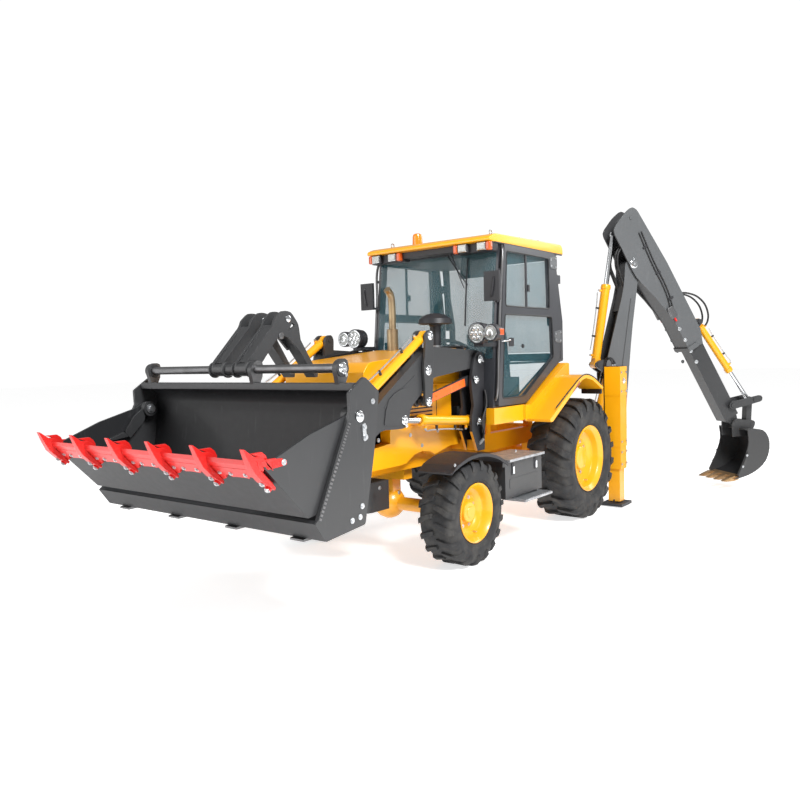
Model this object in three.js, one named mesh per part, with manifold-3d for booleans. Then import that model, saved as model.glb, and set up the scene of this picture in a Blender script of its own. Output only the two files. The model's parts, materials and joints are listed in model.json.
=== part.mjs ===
// Backhoe loader with a clamshell front bucket and a side-shift backhoe.
// Millimetres, X forward, Y left, Z up, rear axle at x = 0, ground at z = 0.
import * as THREE from 'three';
import { mergeVertices } from 'three/addons/utils/BufferGeometryUtils.js';
import Module from 'manifold-3d';

const wasm = await Module();
wasm.setup();

// ---- driving dimensions ----
const wheelbase = 2240;
const rearTyre = { radius: 652, width: 480, rim: 305, flange: 353, offset: 845 };
const frontTyre = { radius: 456, width: 340, rim: 222, flange: 254, offset: 870 };
const kingpinOffset = 760;
const seatGap = 0.3; // between pieces bolted or welded together
const runGap = 6; // between pieces that move past each other
const pinGap = 0.5; // between a pin and its bore
const cornerSteps = 2;
const pinSides = 12;

const railInner = 280;
const railOuter = 360;
const railBottom = 800;
const railTop = 980;
const railFront = 2900;
const railRear = -560;
const noseFront = 2950;
const noseHalf = 460;
const noseBottom = 870;
const hoodFront = 3020;
const hoodHalf = 460;
const hoodTopFront = 1770;
const hoodTopRear = 1880;

const cabHalf = 735; // outer face of the side frames
const cabPost = 45; // thickness of the side frames
const doorThickness = 40;
const glassThickness = 6;
const sillTop = 1295;
const floorTop = 1190;
const roofBottom = 2872;

// loader linkage points, side view
const armPivot = [1582, 1766];
const linkPivot = [1656, 1574];
const liftBase = [1608, 1186];
const leverPivot = [2405, 1685];
const leverTop = [2368, 1984];
const leverFoot = [2408, 1414];
const liftEye = [2720, 1280];
const bucketPivot = [3700, 800];
const tiltEye = [3600, 1235];
const armInner = 550;
const armOuter = 630;
const armCentre = 590;
const leverPlate = 28;
const loaderBore = 44;

// loader bucket, side view
const bucketHalf = 1222;
const sidePlate = 25;
const clamHinge = [3960, 1430];
const toothCount = 6;
const toothHalf = 42;
const forkShaft = [3955, 1747];

// backhoe, side view from the slew axis outward
const slewPoint = [-1250, 550];
const slewAngle = 140;
const boomFoot = [230, 560];
const boomHead = [500, 2870];
const boomHalf = 115;
const boomRamBase = [30, 835];
const boomRamEye = [330, 1950];
const dipperRamBase = [40, 1640];
const dipperPitch = 61;
const dipperHalf = 150;
// along and across the dipper from its pivot
const dipperRamEye = [-430, 9];
const bucketRamBase = [1100, 495];
const tipPivot = [2250, 330];
const tipTop = [2350, 640];
const hoeHinge = [2470, 290];
const hoeLinkPin = [2620, 470];
const hoeWidth = 600;

// stabilisers and side shift
const legCentre = [-765, 1045];
const legHalf = 70;
const housingWall = 22;

// ---- materials ----
const finish = (color, roughness, metalness) => ({ color, roughness, metalness });
const yellow = finish(0xf8b800, 0.4, 0.1);
const charcoal = finish(0x3e4040, 0.5, 0.2);
const black = finish(0x16171a, 0.6, 0);
const red = finish(0xc8201a, 0.45, 0.1);
const chrome = finish(0xd8dadc, 0.15, 1);
const steel = finish(0x9a9da0, 0.35, 0.9);
const rubber = finish(0x202224, 0.9, 0);
const glass = finish(0xa8d4e0, 0.05, 0);
const fabric = finish(0x2a2c30, 0.9, 0);
const bronze = finish(0x8c6a3a, 0.4, 0.8);

// ---- shapes ----
function toSolid(geometry) {
  const bare = geometry.index ? geometry.toNonIndexed() : geometry.clone();
  bare.deleteAttribute('normal');
  bare.deleteAttribute('uv');
  const merged = mergeVertices(bare, 1e-3);
  return new wasm.Manifold(new wasm.Mesh({
    numProp: 3,
    vertProperties: new Float32Array(merged.attributes.position.array),
    triVerts: new Uint32Array(merged.index.array),
  }));
}

function toGeometry(solid) {
  const mesh = solid.getMesh();
  const geometry = new THREE.BufferGeometry();
  geometry.setAttribute('position', new THREE.BufferAttribute(new Float32Array(mesh.vertProperties), 3));
  geometry.setIndex(new THREE.BufferAttribute(new Uint32Array(mesh.triVerts), 1));
  geometry.computeVertexNormals();
  return geometry;
}

const join = (...solids) => solids.flat(Infinity).reduce((sum, next) => sum.add(next));
const cut = (solid, ...tools) => tools.flat(Infinity).reduce((rest, tool) => rest.subtract(tool), solid);

function box(x0, x1, y0, y1, z0, z1) {
  const geometry = new THREE.BoxGeometry(x1 - x0, y1 - y0, z1 - z0);
  return toSolid(geometry.translate((x0 + x1) / 2, (y0 + y1) / 2, (z0 + z1) / 2));
}

// A path through [x, z] or [x, z, corner radius] points, made to run anticlockwise.
function outline(corners) {
  const area = THREE.ShapeUtils.area(corners.map(([x, y]) => ({ x, y })));
  const points = area > 0 ? corners : [...corners].reverse();
  const path = new THREE.Shape();
  points.forEach(([x, z, radius = 0], i) => {
    const corner = new THREE.Vector2(x, z);
    const before = new THREE.Vector2(...points.at(i - 1).slice(0, 2)).sub(corner);
    const after = new THREE.Vector2(...points[(i + 1) % points.length].slice(0, 2)).sub(corner);
    const trim = Math.min(radius, before.length() * 0.45, after.length() * 0.45);
    const start = corner.clone().add(before.setLength(trim));
    const end = corner.clone().add(after.setLength(trim));
    if (i === 0) path.moveTo(start.x, start.y);
    else path.lineTo(start.x, start.y);
    if (trim > 0) path.quadraticCurveTo(x, z, end.x, end.y);
  });
  path.closePath();
  return path;
}

// A flat plate drawn in side view, from y0 to y1, with round or outlined holes.
function plate(points, y0, y1, holes = []) {
  const isRound = (hole) => !Array.isArray(hole[0]);
  const shape = outline(points);
  shape.holes.push(...holes.filter((hole) => !isRound(hole)).map(outline));
  const geometry = new THREE.ExtrudeGeometry(shape,
    { depth: y1 - y0, bevelEnabled: false, curveSegments: cornerSteps });
  const solid = toSolid(geometry.rotateX(Math.PI / 2).translate(0, y1, 0));
  return cut(solid, holes.filter(isRound).map(([x, z, radius]) => bore([x, z], radius, y0 - 1, y1 + 1)));
}

// A plate drawn in plan view, from z0 to z1.
function slab(points, z0, z1) {
  const options = { depth: z1 - z0, bevelEnabled: false, curveSegments: cornerSteps };
  return toSolid(new THREE.ExtrudeGeometry(outline(points), options).translate(0, 0, z0));
}

function rod(from, to, radius, sides = pinSides, turnStart = 0) {
  const start = new THREE.Vector3(...from);
  const end = new THREE.Vector3(...to);
  const geometry = new THREE.CylinderGeometry(radius, radius, start.distanceTo(end), sides, 1, false,
    turnStart);
  const turn = new THREE.Quaternion().setFromUnitVectors(
    new THREE.Vector3(0, 1, 0), end.clone().sub(start).normalize());
  geometry.applyQuaternion(turn).translate(...start.clone().add(end).multiplyScalar(0.5).toArray());
  return toSolid(geometry);
}

const pin = ([x, z], radius, y0, y1, sides = pinSides) => rod([x, y0, z], [x, y1, z], radius, sides);

// The flats of a hole stay outside the given radius, and its corners fall between those of a rod.
const hole = (from, to, radius, sides = pinSides) =>
  rod(from, to, radius / Math.cos(Math.PI / sides), sides, Math.PI / sides);
const bore = ([x, z], radius, y0, y1) => hole([x, y0, z], [x, y1, z], radius);

// A ring turned about the Y axis from [radius, y] points.
function turned(points, sides = 48) {
  const profile = points.concat([points[0]]).map(([radius, y]) => new THREE.Vector2(radius, y));
  return toSolid(new THREE.LatheGeometry(profile, sides));
}

// The same shape on both sides of the middle plane.
const both = (make) => [make(1), make(-1)];
const span = (side, inner, outer) => (side > 0 ? [inner, outer] : [-outer, -inner]);

const shift = (points, [x, z]) => points.map(([px, pz, ...rest]) => [px - x, pz - z, ...rest]);
const minus = (a, b) => [a[0] - b[0], a[1] - b[1]];
const angleOf = ([x, z]) => Math.atan2(z, x);

// Round ends about two points, joined by straight flanks.
function linkOutline(from, to, fromRadius, toRadius = fromRadius) {
  const along = angleOf(minus(to, from));
  const arc = ([x, z], radius, middle) => [-90, -45, 0, 45, 90].map((turn) => {
    const angle = middle + THREE.MathUtils.degToRad(turn);
    return [x + radius * Math.cos(angle), z + radius * Math.sin(angle)];
  });
  return [...arc(to, toRadius, along), ...arc(from, fromRadius, along + Math.PI)];
}

// ---- the assembly ----
const machine = new THREE.Group();
machine.name = 'backhoe_loader';

function body(name, parent, x, y, z, pitch = 0, yaw = 0) {
  const group = new THREE.Group();
  group.name = name;
  group.position.set(x, y, z);
  group.rotation.set(0, pitch, yaw);
  parent.add(group);
  return group;
}

function piece(name, group, solid, look) {
  const mesh = new THREE.Mesh(toGeometry(solid), new THREE.MeshStandardMaterial(look));
  mesh.name = name;
  group.add(mesh);
}

const sideName = (side) => (side > 0 ? 'left' : 'right');

// ---- frame ----
const frame = body('frame', machine, 0, 0, 0);
const axlePad = 118; // the axle tube's half height plus its clamp
const towerRear = 1530;
const towerFront = 1730;
const armBoss = 75;

function makeChassis() {
  const rails = both((side) => join(
    box(railRear, railFront, ...span(side, railInner, railOuter), railBottom, railTop),
    box(-110, 110, ...span(side, railInner, railOuter), rearTyre.radius + axlePad, railBottom + 5)));
  const archCentre = [wheelbase, 560];
  const nosePlates = both((side) => {
    const outer = plate([
      [1800, 960], [2080, 900], [2200, 900], [2560, noseBottom], [noseFront, noseBottom, 20],
      [noseFront, 1050, 20], [2700, 1075], [2700, 1195, 30], [towerRear, 1195], [towerRear, 960],
    ], ...span(side, railOuter - 5, noseHalf));
    return cut(outer, pin(archCentre, 400, ...span(side, 300, 900), 20));
  });
  const towers = both((side) => {
    const cheeks = [[armInner - 32, armInner - runGap],
      [armOuter + runGap, armOuter + 32]].map(([inner, outer]) =>
      plate([
        [towerRear - 20, 900], [1640, 900], [towerFront, 1090], [towerFront, 1230, 40], [1690, 1330],
        [1730, 1560, 40], [1670, 1780, 40], [armPivot[0] + 20, armPivot[1] + 82, 40],
        [armPivot[0] - 82, armPivot[1] + 60, 50], [1500, 1600],
      ], ...span(side, inner, outer)));
    return join(
      cheeks,
      box(towerRear, 1640, ...span(side, railOuter - 10, armOuter + 32), 905, 1000),
      box(towerRear - 12, towerRear + 8, ...span(side, armInner - 32, armOuter + 32), 900, 1640),
      pin(armPivot, 32, ...span(side, armInner - 40, armOuter + 48)),
      pin(linkPivot, 22, ...span(side, armInner - 38, armOuter + 44)),
      pin(liftBase, 26, ...span(side, armInner - 38, armOuter + 44)));
  });
  const crossMembers = join(
    box(railFront - 120, noseFront, -noseHalf, noseHalf, noseBottom, 1048),
    box(wheelbase - 60, wheelbase + 60, -railInner - 5, railInner + 5, 690, 830),
    box(1400, 1480, -railInner - 5, railInner + 5, railBottom + 20, railTop - 20),
    box(-440, -340, -railInner - 5, railInner + 5, railBottom + 20, railTop - 20));
  const counterweight = join(
    slab([[2640, -380], [noseFront - 30, -380, 60], [noseFront + 30, 0], [noseFront - 30, 380, 60],
      [2640, 380]], 500, 752),
    both((side) => box(2790, 2860, ...span(side, 200, 300), 740, 880)));
  return join(rails, nosePlates, towers, crossMembers, counterweight);
}
piece('chassis', frame, makeChassis(), yellow);

// ---- engine with its intake and exhaust stacks ----
const engineHalf = 250;
const stackLeft = [1900, 390];
const stackRight = [1750, -240];

function makeEngine() {
  const block = box(1880, 2770, -engineHalf, engineHalf, railBottom + 40, 1500);
  const intake = join(
    rod([stackLeft[0], stackLeft[1], 1560], [stackLeft[0], stackLeft[1], 2110], 48, 16),
    box(stackLeft[0] - 20, stackLeft[0] + 40, engineHalf - 60, stackLeft[1] + 20, 1480, 1600));
  const rim = [[0, 2105], [160, 2105], [150, 2150], [90, 2190],
    [0, 2205]].map(([r, z]) => new THREE.Vector2(r, z));
  const capGeometry = new THREE.LatheGeometry(rim, 20);
  const cap = toSolid(capGeometry.rotateX(Math.PI / 2).translate(stackLeft[0], stackLeft[1], 0));
  const exhaust = join(
    rod([stackRight[0], stackRight[1], 1440], [stackRight[0], stackRight[1], 2400], 32, 16),
    rod([stackRight[0], stackRight[1], 2390], [stackRight[0] + 70, stackRight[1], 2470], 30, 16),
    box(stackRight[0] - 30, 1900, stackRight[1] - 10, stackRight[1] + 60, 1400, 1460));
  const feet = both((side) => [1950, 2600].map((x) =>
    box(x, x + 80, ...span(side, engineHalf - 5, railInner - seatGap), railBottom + 60, railBottom + 110)));
  return join(block, feet, intake, cap, exhaust);
}
piece('engine', frame, makeEngine(), black);

// ---- axles, knuckles and wheels ----
const kingpin = { radius: 24, height: 150 };
const frontDisc = 20; // how far the wheel disc stands outside the wheel's middle
const rearDisc = 60;

function makeFrontAxle() {
  const z = frontTyre.radius;
  const forks = both((side) => {
    const yoke = box(wheelbase - 55, wheelbase + 55,
      ...span(side, kingpinOffset - 120, kingpinOffset + 40), z - 130, z + 130);
    const slot = box(wheelbase - 60, wheelbase + 60, ...span(side, kingpinOffset - 90, kingpinOffset + 45),
      z - 96, z + 96);
    const eye = hole([wheelbase, side * kingpinOffset, z - 200], [wheelbase, side * kingpinOffset, z + 200],
      kingpin.radius + pinGap);
    return cut(yoke, slot, eye);
  });
  return join(
    rod([wheelbase, -kingpinOffset + 110, z], [wheelbase, kingpinOffset - 110, z], 62, 16),
    toSolid(new THREE.SphereGeometry(150, 14, 10).translate(wheelbase, 60, z)),
    box(wheelbase - 60, wheelbase + 60, -150, 150, z + 40, 690 - seatGap),
    forks);
}
piece('front_axle', frame, makeFrontAxle(), yellow);

function makeRearAxle() {
  const z = rearTyre.radius;
  const end = rearTyre.offset + rearDisc - 12 - seatGap;
  return join(
    rod([0, -end, z], [0, end, z], 105, 16),
    toSolid(new THREE.SphereGeometry(210, 16, 10).translate(0, 0, z)),
    both((side) => box(-95, 95, ...span(side, railInner, railOuter), z + 60, z + axlePad - seatGap)),
    rod([40, 0, z], [620, 0, z + 60], 130));
}
piece('rear_axle', frame, makeRearAxle(), yellow);

function makeKnuckle(side) {
  const z = frontTyre.radius;
  return join(
    rod([0, 0, -kingpin.height], [0, 0, kingpin.height], kingpin.radius),
    box(-45, 45, ...span(side, -45, 60), -96 + runGap, 96 - runGap),
    rod([0, side * 50, 0], [0, side * (frontTyre.offset - kingpinOffset + frontDisc - 12 - seatGap), 0],
      60, 16));
}

// Tyre and rim turned as one wheel, pressed together on the bead.
function makeWheel(tyre, side, hubRadius) {
  const half = tyre.width / 2;
  const { radius, rim, flange } = tyre;
  const rimHalf = half * 0.86;
  const disc = tyre.disc * side;
  const bulge = flange + (radius - flange) * 0.4;
  return turned([
    [hubRadius, disc - 12], [rim - 22, disc - 12], [rim - 22, -rimHalf], [flange, -rimHalf],
    [bulge, -half], [radius * 0.95, -half * 0.96], [radius, -half * 0.8],
    [radius, half * 0.8], [radius * 0.95, half * 0.96], [bulge, half],
    [flange, rimHalf], [rim - 22, rimHalf], [rim - 22, disc + 12], [hubRadius, disc + 12],
  ], 30);
}

const wheels = [
  { name: 'front', tyre: { ...frontTyre, disc: frontDisc }, x: wheelbase },
  { name: 'rear', tyre: { ...rearTyre, disc: rearDisc }, x: 0 },
];
for (const side of [1, -1]) {
  const knuckle = body(`steer_${sideName(side)}`, frame, wheelbase, side * kingpinOffset, frontTyre.radius);
  piece(`knuckle_${sideName(side)}`, knuckle, makeKnuckle(side), yellow);
  for (const { name, tyre, x } of wheels) {
    const onKnuckle = name === 'front';
    const carrier = onKnuckle ? knuckle : frame;
    const height = onKnuckle ? 0 : tyre.radius;
    const y = side * (onKnuckle ? tyre.offset - kingpinOffset : tyre.offset);
    const wheel = body(`spin_${name}_${sideName(side)}`, carrier, onKnuckle ? 0 : x, y, height);
    const centre = pin([0, 0], onKnuckle ? 100 : 130, ...span(side, tyre.disc + 6, tyre.disc + 60), 16);
    const hub = cut(makeWheel(tyre, side, 20), pin([0, 0], 30, -300, 300));
    piece(`${name}_wheel_${sideName(side)}`, wheel, join(hub, centre), rubber);
  }
}

// ---- rear frame with the stabiliser housings ----
const frameFace = -700;
const slideFace = -860;

function makeRearFrame() {
  const [x, y] = legCentre;
  const wall = housingWall;
  const housings = both((side) => {
    const shell = (top, bottom, grow) => box(
      x - legHalf - wall - grow, x + legHalf + wall + grow,
      ...span(side, y - legHalf - wall, y + legHalf + wall + grow * 0.5), bottom, top);
    const bore = box(x - legHalf - runGap, x + legHalf + runGap,
      ...span(side, y - legHalf - runGap, y + legHalf + runGap), 300, 1600);
    return cut(join(shell(1625, 1290, 8), shell(1291, 700, 3), shell(701, 440, -4)), bore);
  });
  const beamEnd = y - legHalf - wall + 5;
  const beams = join(
    box(slideFace, frameFace, -beamEnd, beamEnd, 960, 1060),
    box(slideFace, frameFace, -beamEnd, beamEnd, 440, 560),
    box(frameFace - 30, frameFace, -beamEnd, -640, 440, 1060),
    box(frameFace - 30, frameFace, 640, beamEnd, 440, 1060));
  const gussets = both((side) => plate([
    [frameFace - 20, 480], [-460, 790], [railRear - 1, 990], [frameFace - 20, 1050],
  ], ...span(side, railOuter + seatGap, railOuter + 40)));
  return join(housings, beams, gussets, both((side) =>
    box(frameFace - 20, railRear - seatGap, ...span(side, railInner, railOuter + 40), 800, 1040)));
}
piece('rear_frame', frame, makeRearFrame(), yellow);

const legPad = legHalf + runGap - seatGap; // sliding pads that guide the leg
for (const side of [1, -1]) {
  const leg = body(`stabiliser_${sideName(side)}`, frame, legCentre[0], side * legCentre[1], 0);
  piece(`stabiliser_leg_${sideName(side)}`, leg, join(
    box(-legHalf, legHalf, -legHalf, legHalf, 60, 1050),
    box(-legPad, legPad, -40, 40, 960, 1040),
    box(-40, 40, -legPad, legPad, 960, 1040),
    box(-45, 45, -45, 45, 40, 80),
    box(-150, 150, -125, 125, 15, 48)), yellow);
}

// ---- bonnet, side panels and grille ----
const bonnetRear = 1500;
const bonnetWall = 14;
const panelTop = 1560;

function makeHood() {
  const side = (lift) => [
    [bonnetRear, hoodTopRear - lift], [bonnetRear + 200, hoodTopRear - lift, 60],
    [hoodFront - 60, hoodTopFront - lift, 60], [hoodFront, hoodTopFront - 80],
  ];
  const edge = panelTop + seatGap;
  const outer = plate([[bonnetRear, edge], ...side(0), [hoodFront, edge]], -hoodHalf, hoodHalf);
  const inner = plate([
    [bonnetRear - 10, 1500], [bonnetRear - 10, hoodTopRear - bonnetWall],
      [bonnetRear + 200, hoodTopRear - bonnetWall, 60],
    [hoodFront - 60 - bonnetWall, hoodTopFront - bonnetWall, 60],
      [hoodFront - bonnetWall, hoodTopFront - 80], [hoodFront - bonnetWall, 1500],
  ], -hoodHalf + bonnetWall, hoodHalf - bonnetWall);
  const holes = [stackLeft, stackRight].map(([x, y]) =>
    box(x - 80, x + 80, y > 0 ? y - 80 : y - 60, y > 0 ? hoodHalf + 5 : y + 60, 1700, 1950));
  return cut(outer, inner, holes);
}

function makeSidePanels() {
  const walls = both((side) => box(1745, hoodFront - 20, ...span(side, hoodHalf - 30, hoodHalf - 16), 1200,
    panelTop));
  const sills = both((side) => box(1745, hoodFront - 20, ...span(side, railOuter, hoodHalf - 16),
    1195 + seatGap, 1215));
  const grille = box(hoodFront - 60, hoodFront - 20, -hoodHalf + 16, hoodHalf - 16, 1062, panelTop);
  const flange = both((side) => box(1745, hoodFront - 20, ...span(side, hoodHalf - 30, hoodHalf),
    panelTop - 15, panelTop));
  const shelf = box(2885, hoodFront - 20, -railOuter + 10, railOuter - 10, 1048 + seatGap, 1075);
  return join(walls, sills, grille, shelf, flange);
}
piece('side_panels', frame, makeSidePanels(), yellow);

const hood = body('hood', frame, bonnetRear, 0, hoodTopRear);
piece('hood', hood, makeHood().translate([-bonnetRear, 0, -hoodTopRear]), yellow);

// ---- tool box, tank, fenders and steps ----
const boxRear = 1010;
const boxFront = 1716;
const boxInner = 640;
const boxOuter = 1000;
const boxBottom = 480;
const boxTop = 820;
const boxWall = 6;
const lidHeight = 24;

function makeFender(side) {
  const arc = [[2640, 850], [2560, 905], [2420, 950, 120], [2240, 968, 200], [2040, 950, 200],
    [1880, 900, 90], [1740, 830]];
  const under = arc.map(([x, z, r]) => [x, z - 12, r]).reverse();
  return join(
    plate(arc.concat(under), ...span(side, 700, 1045)),
    plate([[2640, 850], [2560, 905], [2420, 950, 120], [2240, 968, 200], [2040, 950, 200], [1880, 900, 90],
      [1740, 830], [1740, 800], [1880, 872, 90], [2060, 925, 150], [2240, 940, 150], [2400, 925, 100],
      [2540, 885]], ...span(side, 1035, 1047)),
    box(1700, 1760, ...span(side, 700, 1000), 780, 836));
}

function makeSideBox(side, hollow) {
  const shell = box(boxRear, boxFront, ...span(side, boxInner, boxOuter), boxBottom, boxTop);
  const inside = box(boxRear + boxWall, boxFront - boxWall,
    ...span(side, boxInner + boxWall, boxOuter - boxWall),
    boxBottom + boxWall, boxTop + 5);
  const brackets = [1100, 1560].map((x) =>
    box(x, x + 80, ...span(side, railOuter + seatGap, boxInner + 2), railBottom - 60, boxTop - 5));
  const step = join(
    box(1020, 1560, ...span(side, boxOuter - 120, boxOuter + 120), 440, 462),
    box(1040, 1070, ...span(side, boxOuter - 110, boxOuter - 20), 455, 485),
    box(1500, 1530, ...span(side, boxOuter - 110, boxOuter - 20), 455, 485));
  const lidSeat = hollow ? cut(shell, inside) : shell;
  return join(lidSeat, brackets, step, makeFender(side));
}
piece('tool_box', frame, makeSideBox(1, true), charcoal);
piece('fuel_tank', frame, makeSideBox(-1, false), charcoal);

const lid = body('box_lid', frame, (boxRear + boxFront) / 2, boxInner + 8, boxTop + seatGap + lidHeight / 2);
piece('box_lid', lid, join(
  box(-(boxFront - boxRear) / 2, 1690 - (boxFront + boxRear) / 2, 0, boxOuter - boxInner + 30,
    -lidHeight / 2, lidHeight / 2),
  rod([-250, 0, 0], [250, 0, 0], 10)), steel);

// ---- cab ----
const cabRear = -50;
const cabFrontFoot = 1470;
const cabFrontTop = 1300;
const archWall = 560;
const rearKink = 2150;

function makeCabBase() {
  const floor = join(
    box(cabRear, cabFrontFoot, -archWall - 20, archWall + 20, floorTop - 50, floorTop),
    box(930, cabFrontFoot, -cabHalf, cabHalf, floorTop - 50, floorTop));
  const sides = both((side) => {
    const sill = box(930, 1520, ...span(side, 690, cabHalf + 45), 1140, sillTop);
    const inner = plate([
      [cabRear, 1145], [960, 1145], [960, sillTop], [850, sillTop], [40, 1695], [cabRear, 1695],
    ], ...span(side, archWall, archWall + 30));
    const strip = plate([
      [960, 1145], [960, sillTop - 5], [852, sillTop - 5], [38, 1690], [cabRear, 1690], [cabRear, 1660],
      [30, 1660], [840, 1262], [925, 1262], [925, 1145],
    ], ...span(side, archWall, cabHalf + 58));
    const fender = plate([
      [940, 1150], [204, 1548, 60], [94, 1568, 60], [-100, 1535, 80], [-320, 1438, 40], [-370, 1400],
      [-345, 1385], [-295, 1405], [-90, 1495], [80, 1526], [190, 1506], [880, 1125], [925, 1125],
    ], ...span(side, cabHalf + 56, 1065));
    const cheek = plate([
      [940, 1133], [958, 1146], [958, 1288], [852, 1288], [40, 1685], [cabRear + 5, 1685],
        [cabRear + 5, 1530],
      [94, 1540], [204, 1520], [880, 1133],
    ], ...span(side, cabHalf + 54, cabHalf + 74));
    return join(sill, inner, strip, fender, cheek);
  });
  const posts = join(both((side) =>
    box(900, 980, ...span(side, railInner, railOuter), railTop + seatGap, floorTop - 45)), both((side) =>
    box(-20, 60, ...span(side, railInner, railOuter), railTop + seatGap, floorTop - 45)));
  const column = join(
    box(1180, 1385, -130, 130, floorTop - 5, 1560),
    rod([1230, 0, 1500], [1060, 0, 1860], 28),
    turned([[150, -12], [190, -12], [190, 12], [150, 12]],
      20).rotate([90, 0, 0]).rotate([0, -25, 0]).translate([1050, 0, 1890]),
    box(1020, 1080, -170, 170, 1860, 1876),
    both((side) => box(560, 900, ...span(side, 400, 520), floorTop - 5, 1560)));
  return join(floor, sides, posts, column);
}
piece('cab_base', frame, makeCabBase(), yellow);

// The side view outline of the cab, shrunk inward by a margin.
const cabOutline = (m) => [
  [cabFrontFoot - m, sillTop + 0.5 + m], [cabFrontTop - m * 1.05, roofBottom - m],
    [cabRear + 170 + m * 0.2, roofBottom - m],
  [cabRear + m, rearKink], [cabRear + m, 1716 + m * 0.3], [45 + m * 0.4, 1700 + m],
    [858 + m * 0.3, sillTop + 0.5 + m],
];

function makeCabFrame() {
  const rings = both((side) => plate(cabOutline(0), ...span(side, cabHalf - cabPost, cabHalf),
    [cabOutline(62)]));
  const bar = (x0, x1, z0, z1) => box(x0, x1, -cabHalf + 5, cabHalf - 5, z0, z1);
  const cowl = plate([
    [1398, sillTop + 10], [1462, sillTop + 10], [1425, 1760], [1385, 1760],
  ], -cabHalf + 5, cabHalf - 5);
  const mirrors = both((side) => join(
    rod([1352, side * (cabHalf - 8), 2322], [1500, side * (cabHalf + 20), 2336], 12, 10),
    box(1480, 1510, ...span(side, cabHalf - 50, cabHalf + 115), 2310, 2590)));
  const lamps = both((side) => join(
    box(1376, 1640, ...span(side, cabHalf - 22, cabHalf + 20), 1880, 1920),
    box(1620, 1720, ...span(side, cabHalf - 40, cabHalf + 60), 1880, 1915),
    rod([1640, side * (cabHalf + 15), 2004], [1745, side * (cabHalf + 15), 2004], 95, 16),
    rod([1640, side * (cabHalf + 160), 2004], [1740, side * (cabHalf + 160), 2004], 75, 16),
    box(1650, 1700, ...span(side, cabHalf + 15, cabHalf + 160), 1940, 2075)));
  return join(
    rings, mirrors, lamps, cowl,
    bar(1235, 1290, roofBottom - 60, roofBottom - 4),
      bar(cabRear + 130, cabRear + 190, roofBottom - 60, roofBottom - 4),
    bar(cabRear, cabRear + 40, 1716, 1800));
}
piece('cab_frame', frame, makeCabFrame(), charcoal);

const screenSlope = (cabFrontTop - cabFrontFoot) / (roofBottom - sillTop);
const screenX = (z) => cabFrontFoot + (z - sillTop) * screenSlope;
piece('windscreen', frame, plate([
  [screenX(1770) + 0.5, 1770], [screenX(2800) + 0.5, 2800], [screenX(2800) + 0.5 + glassThickness, 2800],
  [screenX(1770) + 0.5 + glassThickness, 1770],
], -cabHalf + 25, cabHalf - 25), glass);
const rearX = (z) => cabRear + Math.max(0, (z - rearKink) / (roofBottom - rearKink)) * 170;
piece('rear_window', frame, plate([0.5, 0.5 + glassThickness].flatMap((out) => {
  const side = [1810, rearKink, 2805].map((z) => [rearX(z) - out, z]);
  return out > 1 ? side.reverse() : side;
}), -cabHalf + 10, cabHalf - 10), glass);

const roofFront = 1500;
const roofHalf = cabHalf + 20;
piece('cab_roof', frame, plate([
  [-40, roofBottom + seatGap], [1420, roofBottom + seatGap], [roofFront, 2880], [roofFront, 2915, 20],
  [1400, 2955, 60], [0, 2980, 60], [-40, 2940, 30],
], -roofHalf, roofHalf), yellow);

piece('seat', frame, join(
  box(430, 720, -150, 150, floorTop + seatGap, 1420),
  plate([[330, 1415], [860, 1415, 30], [870, 1530, 40], [420, 1510], [330, 2050, 60], [220, 2050, 60],
    [300, 1415, 30]], -250, 250)), fabric);

// doors hinged at the rear post
for (const side of [1, -1]) {
  const hinge = [70, cabHalf + 22];
  const door = body(`door_${sideName(side)}`, frame, hinge[0], side * hinge[1], 0);
  const inner = cabHalf + 2 * seatGap;
  const outer = inner + doorThickness;
  const leaf = plate([
    [1430, sillTop + 14, 20], [1262, 2862, 20], [190, 2862, 40], [85, 2150, 60], [110, 1730, 30],
      [875, sillTop + 14, 30],
  ], ...span(side, inner, outer), [
    [[1225, 2800, 20], [350, 2800, 20], [340, 2270, 20], [1262, 2270, 20]],
    [[1275, 2190, 20], [290, 2190, 20], [260, 1760, 30], [920, 1380, 30], [1352, 1380, 20]],
  ]);
  const lug = (z) => rod([hinge[0], side * hinge[1], z], [hinge[0], side * hinge[1], z + 90], 14, 12);
  const straps = (z) => box(hinge[0], 200, ...span(side, outer - 30, outer - 2), z, z + 90);
  const frameWork = join(leaf, [1900, 2550].map((z) => join(lug(z), straps(z))));
  const onDoor = (solid) => solid.translate([-hinge[0], -side * hinge[1], 0]);
  piece(`door_${sideName(side)}`, door, onDoor(frameWork), charcoal);
  piece(`door_glass_${sideName(side)}`, door, onDoor(plate([
    [1395, 1364, 20], [1229, 2804, 20], [240, 2804, 40], [160, 2150, 60], [180, 1722, 30], [900, 1364, 30],
  ], ...span(side, inner - seatGap - glassThickness, inner - seatGap))), glass);
}

// ---- loader arms ----
const eyeHalf = 20; // half the thickness of a cylinder's eye
const wideEye = 56;
const slotHalf = 28;

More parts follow.
